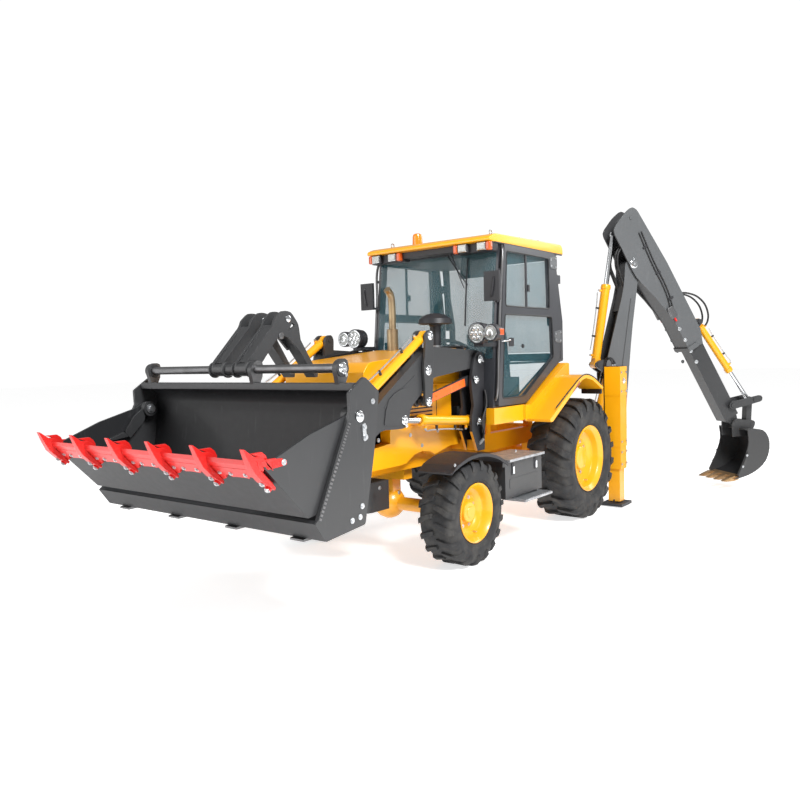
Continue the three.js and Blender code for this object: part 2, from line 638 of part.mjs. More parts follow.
const arms = body('loader_arms', frame, armPivot[0], 0, armPivot[1]);
function makeArms() {
  const side = (sign) => {
    const bar = plate(shift([
      [1502, 1766, 60], [1530, 1848, 60], [2310, 1890, 30], [2420, 1846, 40], [3000, 1478, 60],
        [3730, 880, 60], [3775, 790, 60],
      [3700, 725, 60], [3590, 800, 60], [3030, 1225, 60], [2790, 1212, 40], [2690, 1215, 40],
        [2645, 1290, 40], [2630, 1375, 40],
      [2490, 1470, 60], [2310, 1616, 60], [1600, 1690, 60],
    ], armPivot), ...span(sign, armInner, armOuter), [
      [0, 0, 32 + pinGap],
      [...minus(leverPivot, armPivot), 30 + pinGap],
      [...minus(bucketPivot, armPivot), 34 + pinGap],
    ]);
    const liftSlot = plate(shift([
      [2600, 1180], [2860, 1180], [2860, 1330], [2780, 1400], [2600, 1400],
    ], armPivot), ...span(sign, armCentre - slotHalf, armCentre + slotHalf));
    const doubler = plate(shift([
      [2760, 1240, 20], [2990, 1260, 20], [2940, 1480, 200], [2700, 1560, 60], [2560, 1500, 40],
    ], armPivot), ...span(sign, armOuter - 2, armOuter + 8));
    return join(cut(bar, liftSlot), cut(doubler, liftSlot));
  };
  const tube = pin(minus([3300, 1170], armPivot), 62, -armInner - 5, armInner + 5);
  return join(both(side), tube);
}
piece('loader_arms', arms, makeArms(), charcoal);

// levers, links and cylinders of the loader
function makeLever(side) {
  const points = [
    [leverTop[0] - 55, leverTop[1] + 10, 40], [leverTop[0] - 20, leverTop[1] + 55, 40],
      [leverTop[0] + 60, leverTop[1] + 30, 40],
    [leverTop[0] + 70, 1880, 60], [2475, 1700, 60], [2455, 1560, 60],
      [leverFoot[0] + 55, leverFoot[1] - 15, 40],
    [leverFoot[0], leverFoot[1] - 55, 40], [leverFoot[0] - 55, leverFoot[1], 40], [2335, 1610, 60],
      [2325, 1800, 60],
  ];
  const cheeks = [[armInner - leverPlate - runGap, armInner - runGap],
    [armOuter + runGap + 4, armOuter + runGap + leverPlate]]
    .map(([inner, outer]) => plate(shift(points, leverPivot), ...span(side, inner, outer)));
  const axles = [
    pin([0, 0], 30, ...span(side, armInner - 40, armOuter + 40)),
    pin(minus(leverTop, leverPivot), 24, ...span(side, armInner - 38, armOuter + 40)),
    pin(minus(leverFoot, leverPivot), 24, ...span(side, armInner - 38, armInner - 20)),
    pin(minus(leverFoot, leverPivot), 24, ...span(side, armOuter + 20, armOuter + 40)),
  ];
  return join(cheeks, axles);
}

// A cylinder barrel along X from its base eye, with an open bore for its rod.
function makeBarrel({ y = 0, length, radius, rodRadius, eye, start = 60, half = eyeHalf }) {
  const tube = rod([start, y, 0], [length, y, 0], radius, 16);
  const hollow = hole([start + 25, y, 0], [length + 5, y, 0], rodRadius + pinGap);
  const base = cut(join(
    pin([0, 0], eye + 20, y - half, y + half, 16),
    box(0, start + 5, y - half, y + half, -eye - 10, eye + 10)),
  hole([0, y - half - 5, 0], [0, y + half + 5, 0], eye + seatGap, 16));
  return join(cut(tube, hollow), base);
}

// A rod whose eye tab lies at the origin and whose shaft runs back along X.
function makeRod(y, length, radius, eye = 34) {
  return join(
    rod([-length, y, 0], [-20, y, 0], radius),
    pin([0, 0], eye, y - eyeHalf + 2, y + eyeHalf - 2));
}

function linkRest(from, to) {
  const [x, z] = minus(to, from);
  return { length: Math.hypot(x, z), pitch: -angleOf([x, z]) };
}

for (const side of [1, -1]) {
  const name = sideName(side);
  const y = side * armCentre;
  const lever = body(`lever_${name}`, arms, leverPivot[0] - armPivot[0], 0, leverPivot[1] - armPivot[1]);
  piece(`lever_${name}`, lever, makeLever(side), charcoal);

  const link = linkRest(linkPivot, leverFoot);
  const tie = body(`tie_link_${name}`, frame, linkPivot[0], 0, linkPivot[1], link.pitch);
  const tieBar = plate(linkOutline([0, 0], [link.length, 0], 44, 38),
    ...span(side, armCentre - 17, armCentre + 17), [[0, 0, 22 + pinGap]]);
  piece(`tie_link_${name}`, tie, tieBar, charcoal);

  const lift = linkRest(liftBase, liftEye);
  const liftBody = body(`lift_cylinder_${name}`, frame, liftBase[0], 0, liftBase[1], lift.pitch);
  piece(`lift_barrel_${name}`, liftBody, makeBarrel({ y, length: 840, radius: loaderBore, rodRadius: 28,
    eye: 26 }), yellow);
  const liftRodBody = body(`lift_rod_${name}`, liftBody, lift.length, 0, 0);
  piece(`lift_rod_${name}`, liftRodBody, makeRod(y, 900, 28), chrome);

  const tilt = linkRest(leverTop, tiltEye);
  const tiltBody = body(`tilt_cylinder_${name}`, lever, leverTop[0] - leverPivot[0], 0,
    leverTop[1] - leverPivot[1], tilt.pitch);
  piece(`tilt_barrel_${name}`, tiltBody, makeBarrel({ y, length: 960, radius: 38, rodRadius: 24,
    eye: 24 }), yellow);
  const tiltRodBody = body(`tilt_rod_${name}`, tiltBody, tilt.length, 0, 0);
  piece(`tilt_rod_${name}`, tiltRodBody, makeRod(y, 1260, 24), chrome);
}

// ---- loader bucket ----
const pivotShaft = body('bucket_level', arms, bucketPivot[0] - armPivot[0], 0, bucketPivot[1] - armPivot[1]);
piece('bucket_pivot_shaft', pivotShaft, pin([0, 0], 34, -armOuter - 50, armOuter + 50), steel);

const bucket = body('bucket', pivotShaft, 0, 0, 0);
const earGap = 10;
const bucketPoint = (points) => shift(points, bucketPivot);

function makeBucketBack() {
  const sides = both((side) => plate(bucketPoint([
    [3898, 1690, 20], [3753, 1586, 15], [3807, 1223, 300], [3884, 907, 200], [3930, 712, 15],
      [4310, 672, 10], [4400, 800],
    [4375, 820], [4090, 1387], [4047, 1469], [4051, 1587, 10],
  ]), ...span(side, bucketHalf - sidePlate, bucketHalf)));
  const sheet = plate(bucketPoint([
    [3960, 1650], [3935, 1650], [3810, 1560, 60], [3828, 1225, 300], [3905, 907, 200], [3940, 715, 20],
      [4310, 674], [4402, 802],
    [4378, 818], [4290, 700], [3965, 735, 60], [3930, 912, 200], [3852, 1228, 300], [3838, 1550, 60],
  ]), -bucketHalf + 10, bucketHalf - 10);
  const ears = both((side) => [
    [armInner - earGap - 22, armInner - earGap], [armOuter + earGap, armOuter + earGap + 22],
  ].map(([inner, outer]) => plate(bucketPoint([
    [3640, 790, 60], [3700, 735, 60], [3790, 740, 30], [3930, 780], [3925, 930], [3845, 1240],
      [3840, 1330], [3700, 1320, 60],
    [3590, 1290, 50], [3550, 1215, 50], [3600, 1180, 40], [3660, 1120, 60],
  ]), ...span(side, inner, outer), [[0, 0, 34 + pinGap]])));
  const shaft = pin(minus(forkShaft, bucketPivot), 32, -1085, 1085);
  const lugs = [-1078, 196, 1040].map((y) => plate(bucketPoint([
    [3890, 1805, 30], [3960, 1815, 30], [4020, 1750, 40], [4000, 1690], [3990, 1640], [3925, 1640],
      [3900, 1690],
  ]), y, y + 38));
  const hinges = both((side) => pin(minus(clamHinge, bucketPivot), 28,
    ...span(side, bucketHalf - 62, bucketHalf + 6)));
  return join(sides, sheet, ears, shaft, lugs, hinges);
}
piece('bucket_back', bucket, makeBucketBack(), charcoal);

const clamPoint = (points) => shift(points, clamHinge);
const clam = body('clam', bucket, clamHinge[0] - bucketPivot[0], 0, clamHinge[1] - bucketPivot[1]);
const clamHalf = bucketHalf - sidePlate - runGap;
const clamHeel = [4425, 840];
const clamTip = [4767, 1196];
const clamSlope = angleOf(minus(clamTip, clamHeel));
// A point along the clam floor and above its underside.
const onFloor = (along, up) => [
  clamHeel[0] + along * Math.cos(clamSlope) - up * Math.sin(clamSlope),
  clamHeel[1] + along * Math.sin(clamSlope) + up * Math.cos(clamSlope),
];
const floorLength = Math.hypot(...minus(clamTip, clamHeel));
const floorThickness = 26;

function makeClam() {
  const sides = both((side) => plate(clamPoint([
    [3900, 1450, 60], [3960, 1495, 60], [4060, 1440], [4390, 1352], onFloor(floorLength, 24), clamTip,
      clamHeel, [4330, 850], [4180, 1200, 200],
    [3940, 1365, 60],
  ]), ...span(side, clamHalf - 22, clamHalf), [[0, 0, 28 + pinGap]]));
  const floor = plate(clamPoint([
    onFloor(0, 0), onFloor(floorLength, 0), onFloor(floorLength - 12, floorThickness),
      onFloor(0, floorThickness),
  ]), -clamHalf + 5, clamHalf - 5);
  return join(sides, floor);
}
piece('clam', clam, makeClam(), charcoal);

function makeEdge() {
  const under = -seatGap;
  const strip = plate(clamPoint([
    onFloor(floorLength - 170, under), onFloor(floorLength - 170, under - 22),
      onFloor(floorLength + 52, under - 22),
    onFloor(floorLength + 70, under),
  ]), -clamHalf, clamHalf);
  const teeth = Array.from({ length: toothCount }, (_, i) => {
    const y = (i / (toothCount - 1) - 0.5) * 2 * (clamHalf - toothHalf);
    return plate(clamPoint([
      onFloor(floorLength - 140, under - 20), onFloor(floorLength - 140, under - 52),
        onFloor(floorLength + 60, under - 60),
      onFloor(floorLength + 178, under - 18), onFloor(floorLength + 60, 16), onFloor(floorLength + 4, 16),
        onFloor(floorLength + 4, under - 10),
    ]), y - toothHalf, y + toothHalf);
  });
  return join(strip, teeth);
}
piece('cutting_edge', clam, makeEdge(), red);

const forks = body('forks', bucket, forkShaft[0] - bucketPivot[0], 0, forkShaft[1] - bucketPivot[1]);
const forkPoint = (points) => shift(points, forkShaft);
function makeForks() {
  const fork = (y) => {
    const cheeks = [y, y + 118].map((inner) => plate(forkPoint([
      [4010, 1735, 50], [3950, 1690, 50], [3890, 1740, 30], [3650, 2010, 60], [3560, 1985], [3455, 1885],
        [3425, 1915], [3450, 2090, 30],
      [3530, 2185, 30], [3620, 2190, 30], [3700, 2125, 30], [3715, 2080, 30], [3990, 1800, 40],
    ]), inner, inner + 22, [[0, 0, 32 + pinGap], [[-440, 350], [-395, 290], [-470, 330, 10]]]));
    const tine = plate(forkPoint([[3580, 2060], [3480, 2060], [3235, 1690], [3240, 1665], [3262, 1662]]),
      y + 15, y + 125);
    const hub = pin([0, 0], 50, y - 4, y + 144);
    const web = plate(forkPoint([[3960, 1800], [3700, 2080], [3690, 2050], [3935, 1800]]), y + 10, y + 130);
    return cut(join(cheeks, tine, hub, web), bore([0, 0], 32 + pinGap, y - 20, y + 160));
  };
  const spacer = cut(pin([0, 0], 46, -96, 28), bore([0, 0], 32 + pinGap, -200, 200));
  return join(fork(-236), fork(30), spacer);
}
piece('pallet_forks', forks, makeForks(), charcoal);

// ---- side-shift carriage and slewing kingpost ----
const jawGap = 4;
const slideGap = 0.6;
const jaws = { low: [330, 395], high: [640, 705] };
const carriageHalf = 310;
const slewPin = 52;
const mastHalf = 90;
const boomRamRadius = 55;

const carriage = body('side_shift', frame, slewPoint[0], slewPoint[1], 0);
function makeCarriage() {
  const back = slideFace - slewPoint[0];
  const backPlate = box(back - 60, back - runGap, -carriageHalf, carriageHalf, 330, 1100);
  const hooks = [[1060 + slideGap, 1100], [330, 440 - slideGap]].map(([z0, z1]) =>
    box(back - 20, back + 120, -carriageHalf, carriageHalf, z0, z1));
  const jaw = ([z0, z1]) => cut(slab([
    [back - 55, -200], [back - 55, 200], [75, 92, 30], [-92, 92, 85], [-92, -92, 85], [75, -92, 30],
  ], z0, z1), hole([0, 0, z0 - 5], [0, 0, z1 + 5], slewPin + pinGap, 16));
  const webs = both((side) => plate([
    [back - 55, 335], [back - 55, 900], [210, 700], [210, 335],
  ], ...span(side, 150, 172)));
  return join(backPlate, hooks, jaw(jaws.low), jaw(jaws.high), webs);
}
piece('side_shift_carriage', carriage, makeCarriage(), charcoal);

// The kingpost and all it carries are drawn with X pointing along the boom.
const kingpost = body('slew', carriage, 0, 0, 0, 0, THREE.MathUtils.degToRad(slewAngle));
function makeKingpost() {
  const [z0, z1] = [jaws.low[1] + jawGap, jaws.high[0] - jawGap];
  const post = rod([0, 0, z0], [0, 0, z1], 95, 20);
  const slewAxle = rod([0, 0, jaws.low[0] - 12], [0, 0, jaws.high[1] + 12], slewPin, 16);
  const arm = box(0, 180, -70, 70, z0 + 5, z1 - 5);
  const mast = plate([
    [112, z0 + 5], [200, z0 + 15, 40], [270, 500, 60], [290, 570, 60], [235, 640, 60], [190, 720, 60],
      [120, 820, 60],
    [72, 873, 30], [30, 883, 30], [-14, 860, 30], [-16, 800, 30], [20, 765, 20], [112, 765],
  ], -mastHalf, mastHalf);
  const ramSlot = plate([[-80, 715], [95, 715], [300, 585], [400, 585], [400, 1000], [-80, 1000]],
    -boomRamRadius - runGap, boomRamRadius + runGap);
  const bored = cut(mast, ramSlot);
  const ramPin = pin(boomRamBase, 28, -mastHalf - 2, mastHalf + 2, 16);
  return join(post, slewAxle, arm, bored, ramPin, pin(boomFoot, 36, -boomHalf - 12, boomHalf + 12));
}
piece('kingpost', kingpost, makeKingpost(), charcoal);

// ---- boom ----
const boom = body('boom', kingpost, boomFoot[0], 0, boomFoot[1]);
const boomWall = 20;
const boomPoint = (points) => shift(points, boomFoot);
function makeBoom() {
  const profile = [
    [165, 560, 50], [230, 492, 60], [300, 540, 60], [405, 760, 80], [395, 1065, 200], [425, 1420, 300],
      [493, 2130, 300],
    [575, 2700, 100], [590, 2870, 80], [500, 2965, 80], [400, 2900, 60], [385, 2600, 200], [130, 1640, 60],
      [112, 1520, 60], [180, 900, 300],
  ];
  const cheek = (inner, outer) => plate(boomPoint(profile), inner, outer,
    [[0, 0, 36 + pinGap], [...minus(boomHead, boomFoot), 40 + pinGap]]);
  const cheeks = both((side) => cheek(...span(side, boomHalf - boomWall, boomHalf)));
  const back = plate(boomPoint([
    [330, 690], [385, 800, 60], [375, 1065, 200], [405, 1420, 300], [473, 2130, 300], [545, 2600, 100],
    [520, 2600], [453, 2130, 300], [385, 1420, 300], [355, 1065, 200], [362, 810, 60], [312, 700],
  ]), -boomHalf + boomWall - 5, boomHalf - boomWall + 5);
  const upper = cut(plate(boomPoint([
    [395, 2300], [505, 2300], [560, 2700, 100], [575, 2870, 80], [500, 2950, 80], [415, 2890, 60],
      [400, 2600, 200], [330, 2300],
  ]), -boomHalf + boomWall - 5, boomHalf - boomWall + 5),
    bore(minus(boomHead, boomFoot), 40 + pinGap, -200, 200));
  const lugs = both((side) => plate(boomPoint([
    [-12, 1640, 40], [40, 1588, 40], [125, 1530], [200, 1600], [200, 1680], [120, 1700], [40, 1692, 40],
  ]), ...span(side, wideEye + 6, boomHalf - boomWall + 3)));
  const ramPin = pin(minus(dipperRamBase, boomFoot), 26, -boomHalf + 5, boomHalf - 5);
  return join(cheeks, back, upper, lugs, ramPin);
}
piece('boom', boom, makeBoom(), charcoal);

const boomRam = linkRest(boomRamBase, boomRamEye);
const boomRamBody = body('boom_cylinder', kingpost, boomRamBase[0], 0, boomRamBase[1], boomRam.pitch);
piece('boom_barrel', boomRamBody, makeBarrel({ length: 920, radius: boomRamRadius, rodRadius: 32, eye: 28,
  start: 75 }), yellow);
const boomRodBody = body('boom_rod', boomRamBody, boomRam.length, 0, 0);
piece('boom_rod', boomRodBody, makeRod(0, 960, 32, 38), chrome);

// ---- dipper with its sliding extension ----
const dipper = body('dipper', boom, boomHead[0] - boomFoot[0], 0, boomHead[1] - boomFoot[1],
  THREE.MathUtils.degToRad(dipperPitch));
const dipperWall = 14;
const outerBox = { low: 135, high: 405, start: 210, end: 1330 };
const innerBox = { low: 165, high: 375, half: 95, start: 330, end: 2400 };

function makeDipper() {
  const cheeks = both((side) => plate([
    [-610, 240, 40], [-620, 320, 30], [-560, 360, 30], [outerBox.start, outerBox.high], [1150, outerBox.high],
    [outerBox.end, outerBox.high - 60], [outerBox.end, outerBox.low], [900, outerBox.low], [520, 60, 200],
      [160, -60, 100], [-350, -50, 60],
    [-500, -45, 60], [-590, 160, 40],
  ], ...span(side, dipperHalf - 22, dipperHalf)));
  const deep = [-dipperHalf + 15, dipperHalf - 15];
  const top = plate([
    [-380, 370], [outerBox.start, outerBox.high - 4], [960, outerBox.high - 4], [960, outerBox.high - 18],
    [outerBox.start, outerBox.high - 18], [-380, 356],
  ], ...deep);
  const bottom = plate([
    [230, 20], [520, 72], [900, outerBox.low + 2], [outerBox.end - 6, outerBox.low + 2],
      [outerBox.end - 6, outerBox.low + 16],
    [900, outerBox.low + 16], [520, 88], [230, 36],
  ], ...deep);
  const tailPin = pin([-510, 235], 20, -dipperHalf - 10, dipperHalf + 10);
  const pivot = pin([0, 0], 40, -dipperHalf - 12, dipperHalf + 12);
  const collar = both((side) => box(outerBox.end - 60, outerBox.end,
    ...span(side, dipperHalf - 5, dipperHalf + 16), outerBox.low - 10, outerBox.low + 130));
  const toe = box(outerBox.end - 50, outerBox.end, -dipperHalf - 14, dipperHalf + 14, outerBox.low - 14,
    outerBox.low + 4);
  const pads = both((side) => box(560, outerBox.end - 20,
    ...span(side, innerBox.half + 2 * seatGap, dipperHalf - 20), 175, 365));
  return join(cheeks, top, bottom, tailPin, pivot, collar, toe, pads);
}
piece('dipper', dipper, makeDipper(), charcoal);

const dipperRamTop = (() => {
  const angle = THREE.MathUtils.degToRad(dipperPitch);
  const [along, across] = dipperRamEye;
  return [
    boomHead[0] + along * Math.cos(angle) + across * Math.sin(angle),
    boomHead[1] - along * Math.sin(angle) + across * Math.cos(angle),
  ];
})();
const dipperRam = linkRest(dipperRamBase, dipperRamTop);
const dipperRamBody = body('dipper_cylinder', boom, dipperRamBase[0] - boomFoot[0], 0,
  dipperRamBase[1] - boomFoot[1], dipperRam.pitch);
piece('dipper_barrel', dipperRamBody, makeBarrel({ length: 1000, radius: 54, rodRadius: 30, eye: 26,
  start: 70, half: wideEye }), yellow);
const dipperRodBody = body('dipper_rod', dipperRamBody, dipperRam.length, 0, 0);
piece('dipper_rod', dipperRodBody, makeRod(0, 980, 30, 36), chrome);

const extension = body('extension', dipper, 0, 0, 0);
function makeExtension() {
  const wall = 12;
  const { low, high, half, start, end } = innerBox;
  const tube = cut(box(start, end, -half, half, low, high),
    box(start + wall, end - 60, -half + wall, half - wall, low + wall, high - wall),
    box(start - 5, end - 200, -40, 40, low + wall + 5, high - wall - 5));
  const nose = cut(plate([
    [end - 80, low + 2], [end - 80, high - 2], [hoeHinge[0], 345, 50], [hoeHinge[0] + 50, hoeHinge[1], 50],
      [hoeHinge[0], 232, 50],
  ], -half + 20, half - 20), bore(hoeHinge, 30 + pinGap, -200, 200));
  const ramLugs = both((side) => plate([
    [1020, high - 5], [1175, high - 5], [1140, 520, 30], [1100, 540, 30], [1060, 515, 30],
  ], ...span(side, eyeHalf + 6, eyeHalf + 28)));
  const base = pin(bucketRamBase, 24, -60, 60);
  return join(tube, nose, ramLugs, base, pin(tipPivot, 28, -half - 66, half + 66));
}
piece('dipper_extension', extension, makeExtension(), charcoal);

const hoeRam = linkRest(bucketRamBase, tipTop);
const hoeRamBody = body('bucket_cylinder', extension, bucketRamBase[0], 0, bucketRamBase[1], hoeRam.pitch);
piece('bucket_barrel', hoeRamBody, makeBarrel({ length: 800, radius: 44, rodRadius: 26, eye: 24,
  start: 75 }), yellow);
const hoeRodBody = body('bucket_rod', hoeRamBody, hoeRam.length, 0, 0);
piece('bucket_rod', hoeRodBody, makeRod(0, 740, 26, 34), chrome);

const earPlate = 20;
const linkPlate = 22;
const earInner = innerBox.half + runGap;
const linkInner = earInner + earPlate + runGap;
const tipping = body('tipping_link', extension, tipPivot[0], 0, tipPivot[1]);
piece('tipping_link', tipping, (() => {
  const top = minus(tipTop, tipPivot);
  const reach = Math.hypot(...top);
  const end = top.map((value) => value * (1 + 72 / reach));
  const links = both((side) => plate(linkOutline([0, 0], end, 50, 42),
    ...span(side, linkInner, linkInner + linkPlate),
    [[0, 0, 28 + pinGap]]));
  const stubs = both((side) => pin(top, 26, ...span(side, 60, linkInner + linkPlate + 8)));
  const brace = pin([top[0] + 49, top[1] + 58], 14, -linkInner - 3, linkInner + 3);
  return join(links, stubs, brace);
})(), charcoal);

const hoeBucket = body('hoe_bucket', extension, hoeHinge[0], 0, hoeHinge[1]);
const hoeLink = body('h_link', hoeBucket, hoeLinkPin[0] - hoeHinge[0], 0, hoeLinkPin[1] - hoeHinge[1]);
piece('h_link', hoeLink, (() => {
  const top = minus(tipTop, hoeLinkPin);
  const bar = plate(linkOutline([0, 0], top, 38, 38), -46, 46, [[0, 0, 26 + pinGap]]);
  return cut(bar, pin(top, 90, -eyeHalf - 8, eyeHalf + 8));
})(), charcoal);

// The bucket is drawn in the dipper's own directions.
function makeHoeBucket() {
  const angle = THREE.MathUtils.degToRad(dipperPitch);
  const hingeAt = [
    boomHead[0] + hoeHinge[0] * Math.cos(angle) + hoeHinge[1] * Math.sin(angle),
    boomHead[1] - hoeHinge[0] * Math.sin(angle) + hoeHinge[1] * Math.cos(angle),
  ];
  const local = (points) => points.map(([x, z, ...rest]) => {
    const [dx, dz] = [x - hingeAt[0], z - hingeAt[1]];
    return [dx * Math.cos(angle) - dz * Math.sin(angle), dx * Math.sin(angle) + dz * Math.cos(angle),
      ...rest];
  });
  const outer = [[1985, 764], [2205, 756, 60], [2292, 650, 120], [2305, 500, 120], [2255, 345, 120],
    [2130, 235, 120], [1990, 170, 100], [1795, 128]];
  const inner = [[1800, 146], [1985, 188, 100], [2122, 250, 120], [2240, 352, 120], [2288, 500, 120],
    [2275, 645, 120], [2196, 740, 60], [1985, 748]];
  const side = (inset) => [[1985, 758], [2200, 748, 60], [2284, 650, 120], [2297, 500, 120],
    [2248, 348, 120], [2126, 242, 120], [1988, 178, 100],
    [1850, 150], [1835, 185, 20], [1945, 400, 100],
      [2010, 600, 100]].map(([x, z, ...r]) => [x + inset, z, ...r]);
  const half = hoeWidth / 2;
  const shell = plate(local(outer.concat(inner)), -half, half);
  const sides = both((sign) => plate(local(side(0)), ...span(sign, half - 16, half)));
  const ears = both((sign) => plate([
    [-40, 25, 30], [0, 48, 30], [110, 215, 30], [150, 232, 40], [195, 190, 40], [255, 60], [150, -140],
      [70, -100], [-30, -45, 30],
  ], ...span(sign, earInner, earInner + earPlate)));
  const pinEnd = earInner + earPlate + 3;
  const pins = [pin([0, 0], 30, -pinEnd, pinEnd), pin(minus(hoeLinkPin, hoeHinge), 26, -pinEnd, pinEnd)];
  const teeth = [-1.5, -0.5, 0.5, 1.5].map((i) => plate(local([
    [1660, 112], [1830, 165], [1860, 160], [1850, 125], [1780, 108],
  ]), i * 160 - 36, i * 160 + 36));
  return join(shell, sides, ears, pins, teeth);
}
piece('hoe_bucket', hoeBucket, makeHoeBucket(), charcoal);

// ---- rest the machine on the floor with the middle of its footprint at the origin ----
machine.updateMatrixWorld(true);
const bounds = new THREE.Box3().setFromObject(machine, true);
const centre = bounds.getCenter(new THREE.Vector3());
machine.position.set(-centre.x, -centre.y, -bounds.min.z);
machine.updateMatrixWorld(true);

export default machine;
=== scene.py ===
# Finishes and fine detail for the backhoe loader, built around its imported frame.
import json
from math import atan2, cos, hypot, pi, radians, sin

import bmesh
import bpy
from mathutils import Matrix, Vector

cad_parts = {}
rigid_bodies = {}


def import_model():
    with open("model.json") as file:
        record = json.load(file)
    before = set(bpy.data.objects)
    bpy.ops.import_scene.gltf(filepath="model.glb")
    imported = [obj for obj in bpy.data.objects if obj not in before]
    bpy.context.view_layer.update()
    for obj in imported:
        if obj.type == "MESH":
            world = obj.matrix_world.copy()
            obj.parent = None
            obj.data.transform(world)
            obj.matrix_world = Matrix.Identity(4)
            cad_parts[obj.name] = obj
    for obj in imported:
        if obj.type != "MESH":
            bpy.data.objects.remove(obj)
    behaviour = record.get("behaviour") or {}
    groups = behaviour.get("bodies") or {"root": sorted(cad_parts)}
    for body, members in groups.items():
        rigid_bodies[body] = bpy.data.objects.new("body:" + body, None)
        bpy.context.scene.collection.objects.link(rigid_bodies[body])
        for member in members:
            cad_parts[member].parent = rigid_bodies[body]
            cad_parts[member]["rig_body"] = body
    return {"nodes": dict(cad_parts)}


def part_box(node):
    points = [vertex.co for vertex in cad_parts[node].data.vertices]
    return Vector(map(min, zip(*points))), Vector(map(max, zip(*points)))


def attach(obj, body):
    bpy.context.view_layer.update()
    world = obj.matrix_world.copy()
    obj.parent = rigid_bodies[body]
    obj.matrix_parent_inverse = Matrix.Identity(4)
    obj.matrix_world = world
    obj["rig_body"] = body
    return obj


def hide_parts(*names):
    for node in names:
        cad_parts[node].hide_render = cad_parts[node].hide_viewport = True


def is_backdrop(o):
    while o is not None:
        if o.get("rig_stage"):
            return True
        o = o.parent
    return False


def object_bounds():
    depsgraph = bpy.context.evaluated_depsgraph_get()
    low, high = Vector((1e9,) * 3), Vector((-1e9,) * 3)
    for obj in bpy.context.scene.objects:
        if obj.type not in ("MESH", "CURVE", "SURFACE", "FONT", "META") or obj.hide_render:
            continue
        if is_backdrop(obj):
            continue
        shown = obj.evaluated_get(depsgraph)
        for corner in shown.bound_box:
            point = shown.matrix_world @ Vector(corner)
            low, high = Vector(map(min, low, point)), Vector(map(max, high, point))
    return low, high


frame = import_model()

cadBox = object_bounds()

# Millimetres from the middle of the rear axle, at floor level, to metres in the row frame.
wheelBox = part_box("rear_wheel_left")
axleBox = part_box("rear_axle")
axleFoot = Vector(((wheelBox[0].x + wheelBox[1].x) / 2, (axleBox[0].y + axleBox[1].y) / 2, 0))
machine = Matrix.Translation(axleFoot) @ Matrix.Scale(0.001, 4)
hoePlane = machine @ Matrix.Translation((-1250, 550, 0)) @ Matrix.Rotation(radians(140), 4, "Z")
dipperPlane = hoePlane @ Matrix.Translation((500, 0, 2870)) @ Matrix.Rotation(radians(61), 4, "Y")

# ---- camera, light and floor ----
cameraLook = {"place": (7657, 4456, 1822), "yaw": 218.05, "pitch": -3.4, "roll": -1.54, "lens": 33.894}


def aim(direction):
    return Vector(direction).to_track_quat("Z", "Y").to_matrix().to_4x4()


def makeCamera(look):
    data = bpy.data.cameras.new("camera")
    data.lens = look["lens"]
    data.sensor_width = 36
    data.clip_end = 200
    camera = bpy.data.objects.new("camera", data)
    bpy.context.scene.collection.objects.link(camera)
    yaw, pitch, roll = (radians(look[name]) for name in ("yaw", "pitch", "roll"))
    forward = Vector((cos(yaw) * cos(pitch), sin(yaw) * cos(pitch), sin(pitch)))
    right = forward.cross((0, 0, 1)).normalized()
    up = right.cross(forward)
    across = right * cos(roll) + up * sin(roll)
    over = up * cos(roll) - right * sin(roll)
    turn = Matrix((across, over, -forward)).transposed().to_4x4()
    camera.matrix_world = Matrix.Translation(machine @ Vector(look["place"])) @ turn
    bpy.context.scene.camera = camera


makeCamera(cameraLook)

studio = {
    "sky": 0.36, "backdrop": 1.06,
    "keyPlace": (4.5, 8.0, 9.0), "keyPower": 1750, "keySize": 3.2,
    "fillPlace": (9.0, -5.0, 4.0), "fillPower": 260, "fillSize": 6.0,
    "rearPlace": (-9.0, 3.0, 6.5), "rearPower": 350, "rearSize": 5.0,
}


def makeLights(look):
    world = bpy.data.worlds.new("studio")
    world.use_nodes = True
    bpy.context.scene.world = world
    tree = world.node_tree
    shade = tree.nodes["Background"]
    shade.inputs["Color"].default_value = (1, 1, 1, 1)
    path = tree.nodes.new("ShaderNodeLightPath")
    level = tree.nodes.new("ShaderNodeMapRange")
    tree.links.new(path.outputs["Is Camera Ray"], level.inputs["Value"])
    level.inputs["To Min"].default_value = look["sky"]
    level.inputs["To Max"].default_value = look["backdrop"]
    tree.links.new(level.outputs["Result"], shade.inputs["Strength"])
    for name in ("key", "fill", "rear"):
        data = bpy.data.lights.new(name, "AREA")
        data.energy = look[name + "Power"]
        data.size = look[name + "Size"]
        lamp = bpy.data.objects.new(name, data)
        bpy.context.scene.collection.objects.link(lamp)
        place = Vector(look[name + "Place"])
        lamp.matrix_world = Matrix.Translation(place) @ aim(place - Vector((0, 0, 1)))


makeLights(studio)
bpy.context.scene.view_settings.view_transform = "Standard"
print("camera and lights made")


# ---- materials ----
class Wire:
    # One socket, so that arithmetic on it adds Math nodes.
    def __init__(self, tree, socket):
        self.tree = tree
        self.socket = socket

    def math(self, operation, *values):
        node = self.tree.nodes.new("ShaderNodeMath")
        node.operation = operation
        for value, target in zip(values, node.inputs):
            plug(self.tree, value, target)
        return Wire(self.tree, node.outputs[0])

    def __add__(self, other):
        return self.math("ADD", self, other)

    __radd__ = __add__

    def __sub__(self, other):
        return self.math("SUBTRACT", self, other)

    def __rsub__(self, other):
        return self.math("SUBTRACT", other, self)

    def __mul__(self, other):
        return self.math("MULTIPLY", self, other)

    __rmul__ = __mul__


def plug(tree, value, target):
    if isinstance(value, Wire):
        tree.links.new(value.socket, target)
    elif hasattr(value, "__len__") and target.type == "RGBA":
        target.default_value = (*value[:3], 1)
    else:
        target.default_value = value


